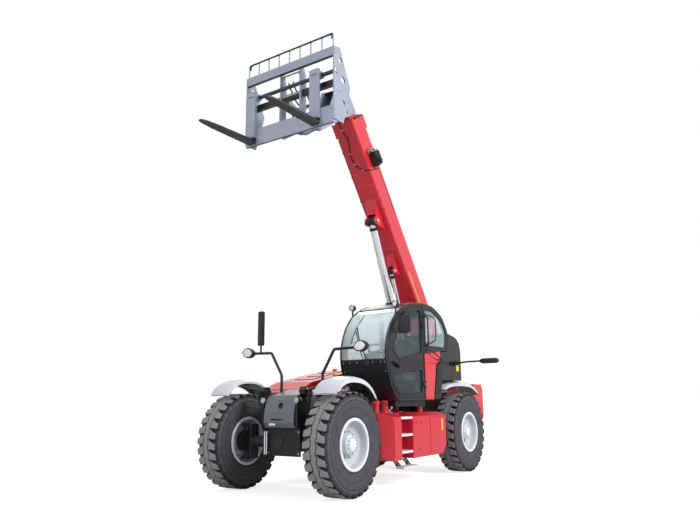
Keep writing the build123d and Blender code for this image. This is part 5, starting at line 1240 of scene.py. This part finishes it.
# folded lip along the lower plate, and plates and latch studs on the fork shanks
with piece("carriage_lower_lip", GREY, "carriage") as bm:
    for hand in BOTH:
        prism(bm, [(-0.33, 0), (0.33, 0), (0.30, 0.012), (-0.30, 0.012)], M(60, hand * 545, 5583),
              (LEFT, FORE, UPW), 0.006, 0.002)
for word, y in (("left", 551.0), ("right", -741.0)):
    with piece("fork_shank_plates_" + word, GREY, "carriage") as bm:
        prism(bm, [(-0.084, 0), (0.084, 0), (0.084, 0.16), (0.050, 0.20), (-0.050, 0.20), (-0.084, 0.16)],
              M(FORK_FACE, y, 5440), FACING_FORE, 0.006, 0.002)
        prism(bm, [(-0.060, 0), (0.060, 0), (0.060, 0.010), (-0.060, 0.010)],
              M(FORK_FACE, y, 6140), FACING_FORE, 0.012, 0.003)
    with piece("fork_latch_studs_" + word, STEEL, "carriage") as bm:
        for dy in (-50, 50):
            turned(bm, M(FORK_FACE, y + dy, 6190), FORE, [(0, 0), (0, 0.008), (0.004, 0.007), (0.004, 0)], 16)
tube("guard_top_grip", [(72, y, z) for y, z in (
    (-840, 6700), (-844, 6752), (-828, 6772), (-790, 6781), (0, 6781), (790, 6781), (828, 6772), (844, 6752),
    (840, 6700))], 0.0135, BLACK, "carriage")

# ------------------------------------------------------------------ counterweight and rear
# name, paint, x, the places' y and z, profile and segments
REAR_PARTS = (
    ("rear_lamp_bezels", PLASTIC, -4930, (700, -700), 1330,
     [(-0.012, 0.075), (0.0, 0.075), (0.0, 0.070), (-0.004, 0.066), (-0.004, 0)], 40),
    ("rear_lamp_lenses", TAIL_LENS, -4925, (700, -700), 1330,
     [(0, 0.066), (0.001, 0.060), (0.004, 0.02), (0.0045, 0)], 40),
    ("counterweight_plugs", PLASTIC, -4926, (-450, -150, 150, 450), 1050,
     [(-0.01, 0.032), (0.003, 0.032), (0.0035, 0.026), (0.0005, 0.02), (0.0005, 0)], 32),
)
for name, mat, x, ys, z, profile, segments in REAR_PARTS:
    with piece(name, mat) as bm:
        for y in ys:
            turned(bm, M(x, y, z), BACK, profile, segments)


# ------------------------------------------------------------------ seat
VOXEL, PRESSURE, CLOTH_FRAMES = 0.014, 4.0, 16


def puff(obj, grow):
    """Remesh a pad and swell it by a short cloth run, by no more than grow metres anywhere."""
    remesh = obj.modifiers.new("remesh", "REMESH")
    remesh.mode = "VOXEL"
    remesh.voxel_size = VOXEL
    bpy.ops.object.modifier_apply(modifier="remesh")
    start = np.array([v.co for v in obj.data.vertices])
    cloth = obj.modifiers.new("cloth", "CLOTH")
    cloth.settings.use_pressure = True
    cloth.settings.uniform_pressure_force = PRESSURE
    cloth.settings.effector_weights.gravity = 0
    cloth.settings.quality = 5
    cloth.collision_settings.use_self_collision = False
    for frame_number in range(1, CLOTH_FRAMES + 1):
        scene.frame_set(frame_number)
    graph = bpy.context.evaluated_depsgraph_get()
    swelled = np.array([v.co for v in obj.evaluated_get(graph).data.vertices])
    scene.frame_set(1)
    obj.modifiers.remove(cloth)
    move = swelled - start
    length = np.linalg.norm(move, axis=1, keepdims=True)
    move *= np.minimum(1.0, grow / np.maximum(length, 1e-9))
    for v, point in zip(obj.data.vertices, start + move):
        v.co = point


def cushion(name, middle, size, lean, channels, across_axis, grow):
    """A crowned pad, puffed, then sewn along channels across one axis, raised at its sides and smoothed."""
    bm = bmesh.new()
    place = Matrix.Translation(middle) @ Matrix.Rotation(lean, 4, "Y") @ Matrix.Diagonal((*size, 1))
    bmesh.ops.create_cube(bm, size=1.0, matrix=place)
    round_edges(bm, bm.edges[:], min(size) * 0.24, segments=5, profile=0.6)
    mesh = bpy.data.meshes.new(name)
    bm.to_mesh(mesh)
    bm.free()
    obj = link(bpy.data.objects.new(name, mesh))
    bpy.context.view_layer.objects.active = obj
    obj.select_set(True)
    puff(obj, grow)
    back_to_cube = place.inverted()
    up_axis = 2 if lean == 0 else 0
    for v in obj.data.vertices:
        q = back_to_cube @ v.co
        dip = sum(math.exp(-((q[across_axis] - k) / 0.022) ** 2) for k in channels)
        bolster = 0.22 * soft(abs(q.y), 0.28, 0.44)
        if q[up_axis] > 0.05:
            q[up_axis] += bolster * 0.35 - 0.07 * dip
        v.co = place @ q
    for face in obj.data.polygons:
        face.use_smooth = True
    smooth = obj.modifiers.new("smooth", "SUBSURF")
    smooth.levels = smooth.render_levels = 1
    bpy.ops.object.modifier_apply(modifier="smooth")
    obj.select_set(False)
    obj.data.materials.append(CLOTH)
    return obj


SX, SY = -1900.0, 715.0          # middle of the seat
RAKE = -0.16                     # lean of its back, in radians
squab = cushion("seat_squab", M(SX + 5, SY, 1632), (0.49, 0.48, 0.115), 0.0, (-0.26, 0.0, 0.26), 1, 0.012)
back = cushion("seat_back", M(SX - 222, SY, 1965), (0.085, 0.44, 0.50), RAKE, (-0.28, 0.0, 0.28), 2, 0.010)
head = cushion("seat_headrest", M(SX - 262, SY, 2228), (0.07, 0.26, 0.055), RAKE, (), 1, 0.006)
for pad in (squab, back, head):
    hang(pad, "chassis")
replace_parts(squab, "seat")
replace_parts(back, "seat")
with piece("seat_suspension", PLASTIC) as bm:
    block(bm, SX - 190, SX + 190, SY - 145, SY + 145, 1296, 1330, 0.006)
    for k in range(9):
        z, inset = 1330 + k * 24, 6 * (k % 2)
        block(bm, SX - 165 + inset, SX + 165 - inset, SY - 125 + inset, SY + 125 - inset, z, z + 24, 0.010)
    block(bm, SX - 230, SX + 235, SY - 225, SY + 225, 1544, 1574, 0.010)
with piece("seat_armrests", PLASTIC) as bm:
    for hand in BOTH:
        block(bm, SX - 120, SX + 190, SY + hand * 275 - 28, SY + hand * 275 + 28, 1800, 1838, 0.012)
        block(bm, SX - 150, SX - 110, SY + hand * 262 - 10, SY + hand * 262 + 10, 1640, 1812, 0.006)

# joystick, dash screen and pedals
with piece("joystick", PLASTIC) as bm:
    turned(bm, M(-1660, 452, 1838), (0.1, 0, 1), [(0, 0.034), (0.03, 0.022), (0.04, 0.012), (0.09, 0.012),
                                                  (0.10, 0.020), (0.17, 0.024), (0.19, 0.016), (0.195, 0)])
with piece("dash_screen", PLASTIC) as bm:
    block(bm, -1102, -1080, 590, 840, 1826, 1960, 0.010)
with piece("pedals", PLASTIC) as bm:
    for y in (620, 700, 790):
        block(bm, -1290, -1270, y - 28, y + 28, 1330, 1420, 0.006)
        block(bm, -1285, -1255, y - 6, y + 6, 1296, 1340)
